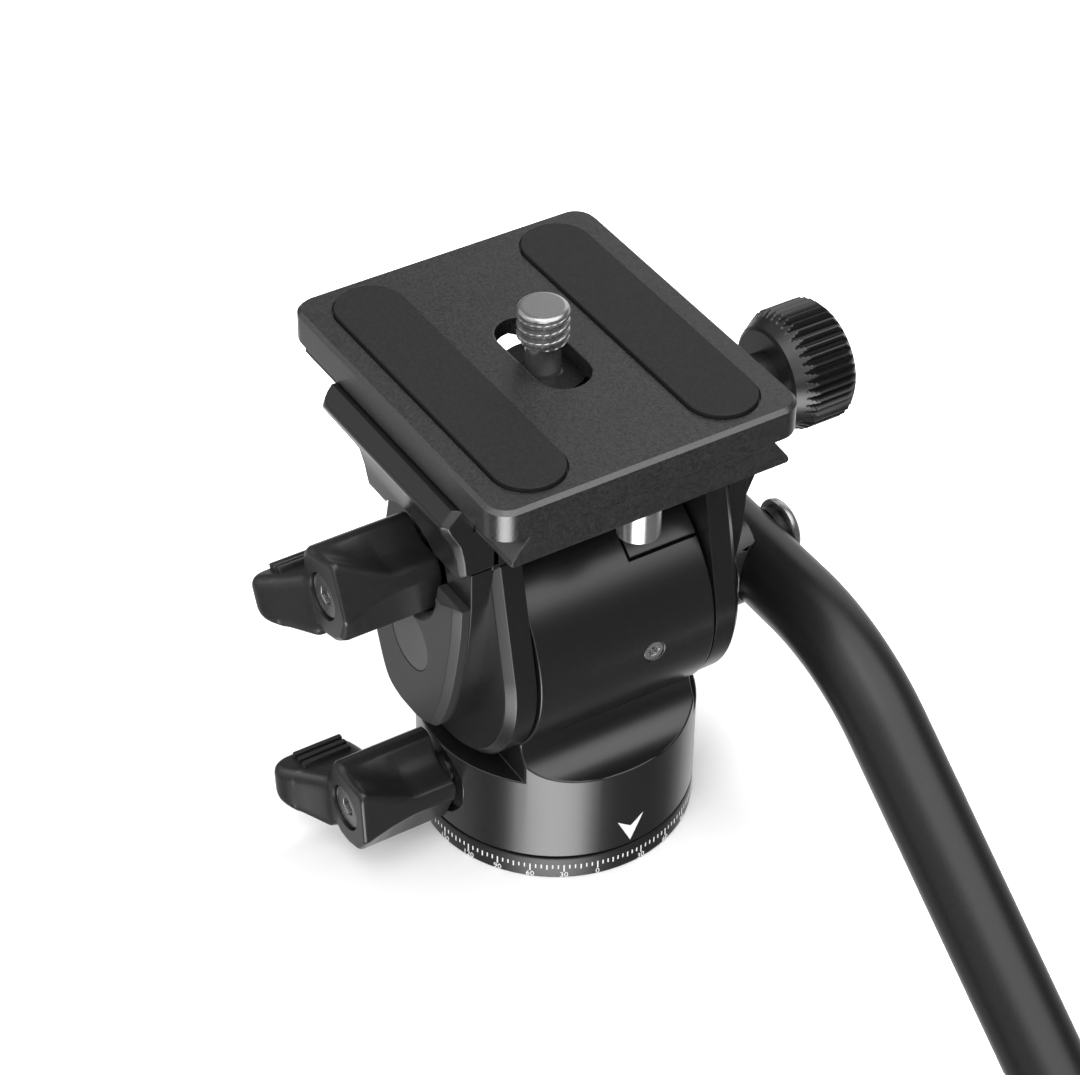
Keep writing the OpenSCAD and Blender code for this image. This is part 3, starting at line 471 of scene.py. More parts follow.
def figureMark(angle, label):
    clearPick()
    bpy.ops.object.text_add()
    text = bpy.context.object
    text.data.body = label
    text.data.size = scaleMarks["figure"]
    text.data.align_x = "CENTER"
    text.data.extrude = 0.05
    text.data.resolution_u = 3
    bpy.ops.object.convert(target="MESH")
    obj = bpy.context.object
    radius = scaleRing["radius"]
    for vert in obj.data.vertices:
        spot = angle + vert.co.x / radius
        depth = radius + scaleMarks["proud"] + (0 if vert.co.z > 0 else -0.12)
        vert.co = onRing(spot, vert.co.y + scaleMarks["figureLow"], depth)
    return obj


def buildScaleMarks():
    labels = sorted(scaleMarks["labels"] + scaleMarks["rest"])
    parts = []
    for index, (angle, label) in enumerate(labels):
        following = labels[index + 1][0] if index + 1 < len(labels) else labels[0][0] + 360
        count = max(1, round((following - angle) / scaleMarks["step"]))
        for step in range(count):
            spot = math.radians(angle + (following - angle) * step / count)
            kind = "long" if step == 0 else "middle" if step % 3 == 0 else "short"
            parts.append(tickMark(spot, scaleMarks[kind]))
        parts.append(figureMark(math.radians(angle), label))
    marks = joinTo(parts[0], *parts[1:])
    marks.name = "scaleMarks"
    finishPiece(marks, "base", looks["whitePaint"])


buildScaleRing()
buildScaleMarks()
print("base made")

# pan housing with drum, the inlaid plate, its grub screw and the white index
indexArrow = {"tip": 4.25, "wing": 1.85, "wingHeight": 7.95, "notch": 6.65, "proud": 0.03, "columns": 13}


def buildPanHead():
    body = easedNode("head_body", "panHousing", 0.22, 3)
    finishPiece(body, "pan_head", looks["blackAnodised"], ["head_body"])
    inlay = easedNode("drum_inlay", "drumInlay", 0.16)
    finishPiece(inlay, "pan_head", looks["blackAnodised"], ["drum_inlay"])
    grub = easedNode("grub_screw", "grubScrew", 0.1)
    finishPiece(grub, "pan_head", looks["steelUpright"], ["grub_screw"])


def buildIndexArrow():
    columns = indexArrow["columns"]
    wing, radius = indexArrow["wing"], scaleRing["radius"]
    parts = []
    for side in (-1, 1):
        rings = []
        for depth in (-0.1, indexArrow["proud"]):
            lower, upper = [], []
            for column in range(columns):
                across = wing * column / (columns - 1)
                share = across / wing
                low = indexArrow["tip"] + (indexArrow["wingHeight"] - indexArrow["tip"]) * share
                high = indexArrow["notch"] + (indexArrow["wingHeight"] - indexArrow["notch"]) * share
                spot = math.radians(-90) + side * across / radius
                lower.append(onRing(spot, low, radius + depth))
                upper.append(onRing(spot, max(high, low + 0.02), radius + depth))
            rings.append(lower + upper[::-1])
        parts.append(loftRings("indexHalf", rings))
    arrow = joinTo(*parts)
    arrow.name = "indexArrow"
    finishPiece(arrow, "pan_head", looks["whitePaint"])


buildPanHead()
buildIndexArrow()
print("pan head made")

# yoke: two arms, side bosses, clamp floor and the fixed left jaw
yokeSizes = {"armIn": 12.8, "armOut": 16.7, "bossOut": 19.4, "axis": 32.4, "round": 15.85, "topHalf": 12.1,
             "top": 51.1, "front": -11.9, "lipBack": 16.8, "waistBack": 10.8, "edge": 1.05, "leverAxis": 45.3,
             "scoop": 7.9, "leverCut": 6.1, "rearCut": 41.5, "coverTop": 46.05, "coverOut": 21.4, "bossIn": 16.5,
             "leverSeat": 18.6, "collar": 5.2}
shieldHalf, shieldDrop = 11.7, 10.3
jawProfile = [(15.7, 50.7), (20.8, 50.7), (20.94, 51.89), (21.1, 53.6), (21.5, 55.7), (21.9, 56.5), (22.74, 58.0),
              (23.2, 59.2), (23.1, 59.8), (21.55, 61.2), (16.97, 61.2), (19.08, 58.45), (19.08, 57.7), (15.7, 57.7)]


# easy curve through the given points
def smoothLine(points, steps):
    out = []
    for index in range(len(points) - 1):
        p0 = points[max(index - 1, 0)]
        p1, p2 = points[index], points[index + 1]
        p3 = points[min(index + 2, len(points) - 1)]
        for step in range(steps):
            t = step / steps
            spot = []
            for axis in range(len(p1)):
                a, b, c, d = p0[axis], p1[axis], p2[axis], p3[axis]
                spot.append(0.5 * (2 * b + (c - a) * t + (2 * a - 5 * b + 4 * c - d) * t * t
                                   + (3 * b - a - 3 * c + d) * t ** 3))
            out.append(tuple(spot))
    return out + [points[-1]]


def armOutline():
    z = yokeSizes["axis"]
    r = yokeSizes["round"]
    start = math.atan2(0.216, 0.976)  # where the straight flanks leave the round
    points = []
    for step in range(73):
        angle = start - (math.pi + 2 * start) * step / 72
        points.append((r * math.cos(angle), z + r * math.sin(angle)))
    return points + [(-yokeSizes["topHalf"], yokeSizes["top"]), (yokeSizes["topHalf"], yokeSizes["top"])]


def shieldOutline(top):
    z = yokeSizes["axis"]
    side = [(0.171, -1), (0.393, -0.922), (0.547, -0.738), (0.718, -0.282), (0.829, 0.155), (0.949, 0.835),
            (0.991, 1.32)]
    side = smoothLine([(a * shieldHalf, z + b * shieldDrop) for a, b in side], 5)
    side = [(0, z - shieldDrop - 0.02)] + side + [(shieldHalf, top)]
    return side + [(-y, height) for y, height in side[:0:-1]]


def roundBar(name, x0, x1, y, z, radius, steps=96):
    profile = [(0, x0), (radius, x0), (radius, x1), (0, x1)]
    return lathe(name, profile, alongX(0, y, z), steps)


# boss and cover stay open behind the tilt lever
def openBehind(obj):
    low = yokeSizes["rearCut"]
    combine(obj, outlineSolid("rearCut", [(0, low), (30, low), (30, 70), (0, 70)], "X", -60, -10))


def buildYoke():
    y = yokeSizes
    parts = []
    for side in (-1, 1):
        inner, outer = side * y["armIn"], side * y["armOut"]
        arm = outlineSolid("arm", armOutline(), "X", inner, outer)
        onOuter = lambda a, b: abs(a.x - outer) < 0.01 and abs(b.x - outer) < 0.01 and min(a.z, b.z) < 51
        bevelWhere(arm, onOuter, y["edge"], 1)
        softEdges(arm, 0.12, 2, 25)
        parts.append(arm)
        boss = outlineSolid("boss", shieldOutline(51), "X", side * y["bossIn"], side * y["bossOut"])
        if side < 0:
            openBehind(boss)
            combine(boss, roundBar("leverCut", -60, -y["leverSeat"], 0, y["leverAxis"], y["leverCut"]))
            parts.append(roundBar("collar", -y["leverSeat"], -y["bossIn"], 0, y["leverAxis"], y["collar"]))
        bevelWhere(boss, lambda a, b: min(abs(a.x), abs(b.x)) > 19.39, 0.3, 2)
        parts.append(boss)
    wedge = [(18.9, 46.1), (20.7, 50.3), (20.7, 50.9), (18.9, 50.9)]
    parts.append(outlineSolid("shoulder", wedge, "Y", -11.5, 11.5))
    plan = [(-11.9, 50.7), (11.9, 50.7), (15.8, 56.2), (15.8, 57.7), (-11.9, 57.7)]
    floor = outlineSolid("clampFloor", plan, "X", -16.7, 15.4)
    softEdges(floor, 0.25)
    parts.append(floor)
    front, back, waist = y["front"], y["lipBack"], y["waistBack"]
    jaw = outlineSolid("leftJaw", [(-x, z) for x, z in jawProfile], "Y", front, back)
    flare = [(-20, 50), (waist - 1.2, 50), (waist, 56.8), (back, 58.2), (back, 70), (-20, 70)]
    combine(jaw, outlineSolid("flare", flare, "X", -60, 0), "INTERSECT")
    bevelWhere(jaw, lambda a, b: min(a.y, b.y) > back - 0.01 and max(a.x, b.x) < -22.9, 1.4, 4)
    onFront = lambda a, b: max(a.y, b.y) < front + 0.01 and min(a.x, b.x) < -20 and min(a.z, b.z) < 61
    bevelWhere(jaw, onFront, 0.75, 1)
    softEdges(jaw, 0.14, 2, 28)
    parts.append(jaw)
    combine(jaw, roundBar("scoop", -60, -y["leverSeat"], 0, y["leverAxis"], y["scoop"]))
    yoke = joinTo(parts[0], *parts[1:])
    yoke.name = "yokeFrame"
    finishPiece(yoke, "tilt_frame", looks["yokeAnodised"], ["yoke"])


def buildTiltCover():
    y = yokeSizes
    cover = outlineSolid("tiltCover", shieldOutline(y["coverTop"]), "X", -y["coverOut"], -y["bossOut"])
    openBehind(cover)
    combine(cover, roundBar("leverCut", -60, -15, 0, y["leverAxis"], y["leverCut"]))
    bevelWhere(cover, lambda a, b: max(a.x, b.x) < 0.01 - y["coverOut"], 0.85, 1)
    low, high = [Vector(corner) * 1000 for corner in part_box("cover_cap")]
    middle = (low + high) / 2
    combine(cover, roundBar("capSeat", -30, -20.6, middle.y, middle.z, (high.y - low.y) / 2 + 0.03))
    softEdges(cover, 0.1, 2, 25)
    finishPiece(cover, "tilt_frame", looks["coverAnodised"], ["tilt_cover"])
    cap = easedNode("cover_cap", "coverCap", 0.15)
    finishPiece(cap, "tilt_frame", looks["capPlastic"], ["cover_cap"])


def buildRightSide():
    jaw = easedNode("jaw", "clampJaw", 0.3, 2)
    finishPiece(jaw, "clamp_jaw", looks["blackAnodised"], ["jaw"])
    rosette = easedNode("rosette", "barRosette", 0.18)
    finishPiece(rosette, "tilt_frame", looks["blackAnodised"], ["rosette"])
    saddle = easedNode("handle_saddle", "barSaddle", 0.25)
    finishPiece(saddle, "pan_bar", looks["blackAnodised"], ["handle_saddle"])


buildYoke()
buildTiltCover()
buildRightSide()
print("yoke made")

# clamp knob: neck, cone shoulder and V flutes that run out in points on the cone
knobSizes = {"axis": 53.6, "neck": 3.2, "start": 21.0, "face": 29.6, "faceRadius": 6.15, "grip": 32.42,
             "radius": 7.8, "end": 38.4, "chamfer": 0.9, "flutes": 40, "depth": 0.95, "land": 0.16, "coneSteps": 70}


def fluteRadius(angle):
    turn = (angle / (2 * math.pi) * knobSizes["flutes"]) % 1
    land = knobSizes["land"]
    if turn < land:
        return knobSizes["radius"]
    return knobSizes["radius"] - knobSizes["depth"] * (1 - abs((turn - land) / (1 - land) * 2 - 1))


def buildKnob():
    k = knobSizes
    count = k["flutes"] * 8
    limits = [(k["face"], k["faceRadius"] - 0.25), (k["face"] + 0.25, k["faceRadius"] + 0.1)]
    for step in range(1, k["coneSteps"] + 1):
        x = k["face"] + 0.25 + (k["grip"] - k["face"] - 0.25) * step / k["coneSteps"]
        share = (x - k["face"]) / (k["grip"] - k["face"])
        limits.append((x, k["faceRadius"] + (k["radius"] - k["faceRadius"]) * share))
    limits += [(34.5, k["radius"]), (k["end"] - k["chamfer"], k["radius"])]
    for step in range(1, 7):
        limits.append((k["end"] - k["chamfer"] * (1 - step / 6), k["radius"] - k["chamfer"] * step / 6))
    limits += [(k["end"], k["radius"] - 1.6), (k["end"] - 0.35, k["radius"] - 1.95), (k["end"] - 0.35, 0.4)]
    rings = [[(k["start"], k["neck"] * math.cos(a), k["axis"] + k["neck"] * math.sin(a))
              for a in [2 * math.pi * n / count for n in range(count)]]]
    limits = [(k["face"], k["neck"])] + limits
    for x, limit in limits:
        ring = []
        for n in range(count):
            angle = 2 * math.pi * n / count
            radius = min(limit, fluteRadius(angle))
            ring.append((x, radius * math.cos(angle), k["axis"] + radius * math.sin(angle)))
        rings.append(ring)
    knob = loftRings("clampKnob", rings)
    finishPiece(knob, "clamp_turner", looks["knobBlack"], ["clamp_knob"], smooth=24)


buildKnob()
print("clamp knob made")

# camera plate: chamfered slab on a dovetail, slot, pad beds
plateSizes = {"width": 41.9, "length": 48.3, "centre": 4.26, "low": 61.4, "high": 65.7, "corner": 3, "chamfer": 0.5,
              "slotHalf": 3.4, "slotLength": 15.6, "pocketHalf": 6, "pocketLength": 33, "pocketTop": 63.53,
              "padHalf": 4.5, "padLength": 44.54, "padX": 13.1, "padLow": 65.1, "padHigh": 66.2, "bedGap": 0.25,
              "stop": 21.2, "stopHole": 1.2755, "stopTop": 61.3}


def roundedPlan(width, length, corner, middle, steps=12):
    points = []
    for sx, sy, start in ((1, 1, 0), (-1, 1, 90), (-1, -1, 180), (1, -1, 270)):
        for step in range(steps + 1):
            angle = math.radians(start + 90 * step / steps)
            points.append((middle[0] + sx * (width / 2 - corner) + corner * math.cos(angle),
                           middle[1] + sy * (length / 2 - corner) + corner * math.sin(angle)))
    return points


def stadium(half, length, middle, steps=24):
    reach = length / 2 - half
    points = []
    for index in range(2 * steps + 2):
        far = index <= steps
        angle = math.pi * (index if far else index - 1) / steps
        points.append((middle[0] + half * math.cos(angle),
                       middle[1] + (reach if far else -reach) + half * math.sin(angle)))
    return points


def buildPlate():
    p = plateSizes
    middle = (0, p["centre"])
    plan = roundedPlan(p["width"], p["length"], p["corner"], middle)
    slab = outlineSolid("cameraPlate", plan, "Z", p["low"], p["high"])
    bevelWhere(slab, lambda a, b: min(a.z, b.z) > p["high"] - 0.01, p["chamfer"], 1)
    bevelWhere(slab, lambda a, b: max(a.z, b.z) < p["low"] + 0.01, 0.25, 2)
    tail = [(-18.7, 57.7), (18.7, 57.7), (19, 57.95), (19, 58.3), (18.8, 58.7), (16.75, 61.5), (-16.75, 61.5),
            (-18.8, 58.7), (-19, 58.3), (-19, 57.95)]
    low, high = p["centre"] - p["length"] / 2, p["centre"] + p["length"] / 2
    dove = outlineSolid("dovetail", tail, "Y", low + 0.02, high - 0.02)
    bevelWhere(dove, lambda a, b: abs(a.y - b.y) < 0.01 and min(a.z, b.z) < 61, 0.3, 2)
    combine(slab, dove, "UNION")
    combine(slab, outlineSolid("slot", stadium(p["slotHalf"], p["slotLength"], middle), "Z", 50, 80))
    combine(slab, outlineSolid("pocket", stadium(p["pocketHalf"], p["pocketLength"], middle), "Z", 50,
                               p["pocketTop"]))
    for side in (-1, 1):
        bed = stadium(p["padHalf"] + p["bedGap"], p["padLength"] + 2 * p["bedGap"], (side * p["padX"], p["centre"]))
        combine(slab, outlineSolid("bed", bed, "Z", p["padLow"], 70))
        hole = []
        for n in range(32):
            angle = n * math.pi / 16
            hole.append((p["stopHole"] * math.cos(angle),
                         p["centre"] + side * p["stop"] + p["stopHole"] * math.sin(angle)))
        combine(slab, outlineSolid("stopHole", hole, "Z", 50, p["stopTop"]))
    atSlot = lambda v: abs(v.x) < 3.42 and abs(v.y - p["centre"]) < 7.9 and abs(v.z - p["high"]) < 0.01
    bevelWhere(slab, lambda a, b: atSlot(a) and atSlot(b), 0.25, 2)
    finishPiece(slab, "camera_plate", looks["plateAnodised"], ["qr_plate"])
    pads = []
    for side in (-1, 1):
        plan = stadium(p["padHalf"], p["padLength"], (side * p["padX"], p["centre"]))
        pad = outlineSolid("gripPads", plan, "Z", p["padLow"], p["padHigh"])
        bevelWhere(pad, lambda a, b: min(a.z, b.z) > p["padHigh"] - 0.01, 0.18, 3)
        pads.append(pad)
    finishPiece(joinTo(*pads), "camera_plate", looks["padRubber"], ["grip_pads"])
    stops = easedNode("stop_screws", "stopScrews", 0.2, 3)
    finishPiece(stops, "camera_plate", looks["steelUpright"], ["stop_screws"])


buildPlate()
print("camera plate made")

# camera screw: slotted head, neck and a cut thread with a domed end
threadSizes = {"centre": 4.26, "outer": 3.175, "root": 2.4, "low": 67.3, "high": 72.4, "pitch": 1.27,
               "headRadius": 5, "headLow": 58.2, "headHigh": 62.88, "neck": 2.2,
               "dome": 0.7, "domeDrop": 0.75, "rings": 84, "around": 64}


def buildCameraScrew():
    t = threadSizes
    rings = []
    for row in range(t["rings"] + 1):
        z = t["low"] + (t["high"] - t["low"]) * row / t["rings"]
        fromEnd = t["high"] - z
        limit = t["outer"]
        if fromEnd <= t["dome"]:
            rise = math.sqrt(max(0, 1 - (1 - fromEnd / t["dome"]) ** 2))
            limit = t["outer"] - t["domeDrop"] + rise * t["domeDrop"]
        limit = min(limit, t["root"] + z - t["low"])
        ring = []
        for n in range(t["around"]):
            angle = 2 * math.pi * n / t["around"]
            turn = (z / t["pitch"] - n / t["around"]) % 1
            crest = min(1, max(0, 1.55 - abs(turn * 2 - 1) * 2.1))  # flat crests, V roots
            radius = min(limit, t["root"] + (t["outer"] - t["root"]) * crest)
            if fromEnd < 0.9:
                radius = limit if fromEnd < 0.5 else min(limit, max(radius, t["outer"] - fromEnd))
            ring.append((radius * math.cos(angle), t["centre"] + radius * math.sin(angle), z))
        rings.append(ring)
    thread = loftRings("cameraScrew", rings)
    profile = [(0, t["headLow"]), (4.7, t["headLow"]), (t["headRadius"], t["headLow"] + 0.3),
               (t["headRadius"], t["headHigh"] - 0.3), (4.7, t["headHigh"]), (t["neck"], t["headHigh"]),
               (t["neck"], t["low"] + 0.2), (0, t["low"] + 0.2)]
    shank = lathe("shank", profile, Matrix.Translation((0, t["centre"], 0)))
    groove = [(-7, 57), (7, 57), (7, 59.7), (-7, 59.7)]
    combine(shank, outlineSolid("groove", groove, "Y", t["centre"] - 0.7, t["centre"] + 0.7))
    finishPiece(joinTo(thread, shank), "camera_bolt", looks["steelUpright"], ["camera_screw"])


buildCameraScrew()
print("camera screw made")

# lock levers: moulded hub with a scooped front, thumb tab with ribs
leverSizes = {"length": 13.7, "voxel": 0.12, "panX": -17.0, "panZ": 10.3, "panTurn": -5,
              "tiltX": -18.9, "tiltZ": 45.3, "tiltTurn": -24, "recess": 3.05, "recessDepth": 1.9,
              "neck": 2.7, "housing": 17.95,
              "ribs": 3, "ribFirst": 7.3, "ribStep": 1.15, "ribWidth": 0.75, "ribLow": 1.5, "ribHigh": 2.7}
# distance from the outer end, upper and lower edge of the front face, front reach, scoop depth, share of full size
hubRows = [
    (0.0, 4.6, -2.7, 4.65, 0, 0.88), (0.3, 4.7, -2.7, 4.8, 0.1, 0.955), (0.8, 4.6, -2.6, 4.8, 0.2, 1),
    (2.4, 3.65, -2.1, 4.8, 0.4, 1), (4.1, 2.75, -1.65, 4.8, 0.6, 1), (6.2, 1.7, -1.3, 4.8, 0.8, 1),
    (7.4, 1.2, -1.15, 4.8, 0.9, 1), (8.4, 1.1, -1.15, 4.8, 0.9, 1), (11.0, 1.1, -1.25, 4.8, 0.9, 1),
    (13.35, 1.1, -1.35, 4.8, 0.9, 1)]
tabPlan = [(-12.9, 0.5), (-13.1, 2.3), (-14.0, 3.8), (-15.3, 5.4), (-16.6, 6.9), (-17.7, 8.3), (-18.15, 9.4),
           (-17.9, 10.5), (-16.9, 11.3), (-15, 11.6), (-9.5, 11.4), (-8, 10.6), (-7.2, 9), (-6.7, 6), (-6.7, 0.5)]
hubEdge = 3.2


def hubRing(row):
    s, upper, lower, front, sag, share = row
    crest, edge = (0.3, 5.5), (0.65 - front, upper + 0.38)
    middle = ((crest[0] + edge[0]) / 2 + sag * 0.55, (crest[1] + edge[1]) / 2 - sag * 0.8)
    keys = [(3.6, 4.2), (3.1, 5.1), (2.3, 5.7), (1.3, 5.85)] + smoothLine([crest, middle, edge], 6)
    keys += [(0.24 - front, upper + 0.16), (0.04 - front, upper - 0.25), (-front, upper - 0.75),
             (-front, lower + 0.6), (0.05 - front, lower + 0.1), (0.32 - front, lower - 0.35),
             (-2.5, -5.3), (-0.3, -5.85), (1.8, -5.6), (4.0, -4.2), (4.6, 0), (4.3, 2.6)]
    return [(-leverSizes["length"] + s, y * (share if y > 0 else 1), z * share) for y, z in keys]


# underside slopes up to the tip; what lies within the hub stays short of its skin
def tabSolid():
    tab = outlineSolid("tab", smoothLine(tabPlan, 4), "Z", -4, 2)
    for vertex in tab.data.vertices:
        if vertex.co.z < 0:
            vertex.co.z = min(-2.6, -7.1 + 0.5 * (vertex.co.y - 2.6)) if vertex.co.y > hubEdge else -5
    bevelWhere(tab, lambda a, b: (a.z < 0) == (b.z < 0) and max(a.y, b.y) > hubEdge, 1.3, 4)
    return tab


# the end face runs into the tab in one hollow curve
def blendTab(hub):
    pickOnly(hub)
    for vertex in hub.data.vertices:
        vertex.select = -17 < vertex.co.x < -11 and 3.1 < vertex.co.y < 7.5
    bpy.ops.object.mode_set(mode="EDIT")
    bpy.ops.mesh.select_mode(type="VERT")
    bpy.ops.mesh.vertices_smooth(factor=0.5, repeat=80)
    backToObject()


def buildLever(name, place, body, node, cutters=()):
    s = leverSizes
    hub = loftRings(name, [hubRing(row) for row in hubRows])
    if cutters:
        for vertex in hub.data.vertices:
            if vertex.co.x > -1:
                vertex.co.x = 0.3
    for cutter in cutters:
        combine(hub, cutter)
    hub = joinTo(hub, roundBar("stub", -1.5, 0, 0, 0, s["neck"]), tabSolid())
    applyModifier(hub, "REMESH", mode="VOXEL", voxel_size=s["voxel"])
    applyModifier(hub, "SMOOTH", factor=0.5, iterations=10)
    blendTab(hub)
    combine(hub, roundBar("recess", -20, -s["length"] + s["recessDepth"], 0, 0, s["recess"], 64))
    ribs = []
    for index in range(s["ribs"]):
        near = s["ribFirst"] + s["ribStep"] * index
        far = near + s["ribWidth"]
        section = [(near, s["ribLow"]), (far, s["ribLow"]), (far, s["ribHigh"]), (near, s["ribHigh"])]
        rib = outlineSolid("rib", section, "X", -15.3, -8.5)
        bevelWhere(rib, lambda a, b: max(a.z, b.z) > 2.6, 0.18, 2)
        ribs.append(rib)
    lever = joinTo(hub, *ribs)
    settle(lever, place)
    finishPiece(lever, body, looks["leverPlastic"], [node])


def buildLevers():
    s = leverSizes
    turned = Matrix.Translation((s["panX"], 0, s["panZ"])) @ Matrix.Rotation(math.radians(s["panTurn"]), 4, "X")
    curves = []
    for angle in range(-20, 41, 15):  # the housing as the lever meets it through its turn
        lean = Matrix.Rotation(math.radians(-angle - s["panTurn"]), 4, "X")
        profile = [(0, -9), (s["housing"], -9), (s["housing"], 9), (0, 9)]
        curves.append(lathe("curve", profile, lean @ Matrix.Translation((-s["panX"], 0, 0))))
    buildLever("panLever", turned, "pan_lock", "pan_lever", curves)
    turned = Matrix.Translation((s["tiltX"], 0, s["tiltZ"])) @ Matrix.Rotation(math.radians(s["tiltTurn"]), 4, "X")
    buildLever("tiltLever", turned, "tilt_lock", "tilt_lever")
    for node, name, body in (("pan_lever_screw", "panLeverScrew", "pan_lock"),
                             ("tilt_lever_screw", "tiltLeverScrew", "tilt_lock")):
        finishPiece(easedNode(node, name, 0.14, 3), body, looks["steelDull"], [node])


buildLevers()
print("levers made")

# pan bar: bent tube, plug, grooved grip, cap and bolt
barSizes = {"x": 27.6, "z": 28.0, "radius": 5.05, "end": 9, "bendStart": -12.55, "bendRadius": 32.5, "bend": 37.3,
            "straight": 138, "grip": 84, "gripRadius": 8.5, "gripBore": 5.08, "around": 72, "grooves": 10,
            "grooveFirst": 9, "grooveStep": 7.2, "grooveWidth": 1.6}


def barPath():
    b = barSizes
    path = [((b["x"], b["end"], b["z"]), 0), ((b["x"], b["bendStart"], b["z"]), 0)]
    for step in range(1, 41):
        angle = math.radians(b["bend"]) * step / 40
        path.append(((b["x"], b["bendStart"] - b["bendRadius"] * math.sin(angle),
                      b["z"] - b["bendRadius"] * (1 - math.cos(angle))), angle))
    (x, y, z), angle = path[-1]
    path.append(((x, y - b["straight"] * math.cos(angle), z - b["straight"] * math.sin(angle)), angle))
    return path


def buildTube():
    b = barSizes
    rings = []
    for (x, y, z), angle in barPath():
        ring = []
        for n in range(b["around"]):
            turn = 2 * math.pi * n / b["around"]
            side, rise = b["radius"] * math.cos(turn), b["radius"] * math.sin(turn)
            ring.append((x + side, y - rise * math.sin(angle), z + rise * math.cos(angle)))
        rings.append(ring)
    tube = loftRings("barTube", rings)
    finishPiece(tube, "pan_bar", looks["tubeBlack"], ["handle_tube"])


def onBar(along):
    (x, y, z), angle = barPath()[-2]
    turn = Matrix.Rotation(math.radians(90) + angle, 4, "X")
    return Matrix.Translation((x, y, z)) @ turn @ Matrix.Translation((0, 0, along))


def buildGrip():
    b = barSizes
    r, bore = b["gripRadius"], b["gripBore"]
    profile = [(bore, 0), (r - 2.0, 0), (r - 1.7, 0.1), (r - 1.5, 0.4), (r - 0.3, 4.1), (r - 0.08, 4.8), (r, 5.6)]
    for index in range(b["grooves"]):
        low = b["grooveFirst"] + index * b["grooveStep"]
        high = low + b["grooveWidth"]
        profile += [(r, low - 0.35), (r - 0.06, low - 0.08), (r - 0.22, low), (r - 0.5, low + 0.06),
                    (r - 0.6, low + 0.25), (r - 0.6, high - 0.25), (r - 0.5, high - 0.06), (r - 0.22, high),
                    (r - 0.06, high + 0.08), (r, high + 0.35)]
    profile += [(r, b["grip"] - 0.3), (r - 0.2, b["grip"]), (bore, b["grip"])]
    grip = lathe("barGrip", profile, onBar(b["straight"] - b["grip"]))
    finishPiece(grip, "pan_bar", looks["gripRubber"], ["handle_grip"])
    profile = [(0, -8), (3.77, -8), (3.77, 0.02), (r - 0.12, 0.02), (r - 0.22, 0.3), (r - 0.57, 0.9),
               (r - 1.06, 1.7), (r - 1.45, 2.2), (r - 2.0, 2.48), (0, 2.5)]
    cap = lathe("gripCap", profile, onBar(b["straight"]))
    finishPiece(cap, "pan_bar", looks["leverPlastic"], ["grip_cap"])
    profile = [(0, 5), (3.82, 5), (3.82, 9.02), (4.9, 9.02), (5.05, 9.2), (5.0, 9.6), (4.75, 9.95), (4.2, 10.18),
               (0, 10.2)]
    turn = Matrix.Rotation(math.radians(-90), 4, "X")
    plug = lathe("barPlug", profile, Matrix.Translation((b["x"], 0, b["z"])) @ turn)
    finishPiece(plug, "pan_bar", looks["leverPlastic"], ["tube_plug"])


def buildBarBolt():
    b = barSizes
    profile = [(0, 17.2), (2.5, 17.2), (2.5, 33.15), (3.85, 33.15), (4.0, 33.3), (4.0, 33.75), (3.9, 34.1),
               (3.6, 34.4), (3.0, 34.63), (2.2, 34.73), (0, 34.75)]
    bolt = lathe("barBolt", profile, alongX(0, 0, b["z"]))
    socket = [(1.5 * math.cos(n * math.pi / 3), b["z"] + 1.5 * math.sin(n * math.pi / 3)) for n in range(6)]
    combine(bolt, outlineSolid("socket", socket, "X", 33.75, 40))
    finishPiece(bolt, "bar_bolt", looks["steelCross"], ["handle_bolt"])


buildTube()
buildGrip()
buildBarBolt()
print("pan bar made")

# stage: pale floor, thin plinth under the base with a notch for the pan bar, soft light
stageSizes = {"floor": -0.0695, "floorSide": 8, "plinth": 0.075, "plinthSide": 0.045, "plinthLow": -0.0004,
              "plinthTop": -0.00002, "notchX": 0.0188, "notchY": -0.03, "pale": 0.86, "lift": 0.14,
              "fadeFrom": 0.046, "fadeTo": 0.07}


# matt white that keeps the shadow near the base and fades to plain white further out
def paleMaterial(name):
    s = stageSizes
    material = bpy.data.materials.new(name)
    material.use_nodes = True
    nodes, links = material.node_tree.nodes, material.node_tree.links
    nodes.remove(nodes["Principled BSDF"])
    matt = nodes.new("ShaderNodeBsdfDiffuse")
    matt.inputs["Color"].default_value = asColour(s["pale"])
    coords = nodes.new("ShaderNodeTexCoord")
    reach = nodes.new("ShaderNodeVectorMath")
    reach.operation = "LENGTH"
    links.new(coords.outputs["Object"], reach.inputs[0])
    fade = nodes.new("ShaderNodeMapRange")
    fade.interpolation_type = "SMOOTHSTEP"
    for socket, value in (("From Min", s["fadeFrom"]), ("From Max", s["fadeTo"]), ("To Min", s["lift"]),
                          ("To Max", 1)):
        fade.inputs[socket].default_value = value
    links.new(reach.outputs["Value"], fade.inputs["Value"])
    path = nodes.new("ShaderNodeLightPath")
    level = nodes.new("ShaderNodeMath")
    level.operation = "MULTIPLY"
    links.new(path.outputs["Is Camera Ray"], level.inputs[0])
    links.new(fade.outputs["Result"], level.inputs[1])
    glow = nodes.new("ShaderNodeEmission")
    links.new(level.outputs[0], glow.inputs["Strength"])
    both = nodes.new("ShaderNodeAddShader")
    links.new(matt.outputs[0], both.inputs[0])
    links.new(glow.outputs[0], both.inputs[1])
    links.new(both.outputs[0], nodes["Material Output"].inputs["Surface"])
    return material


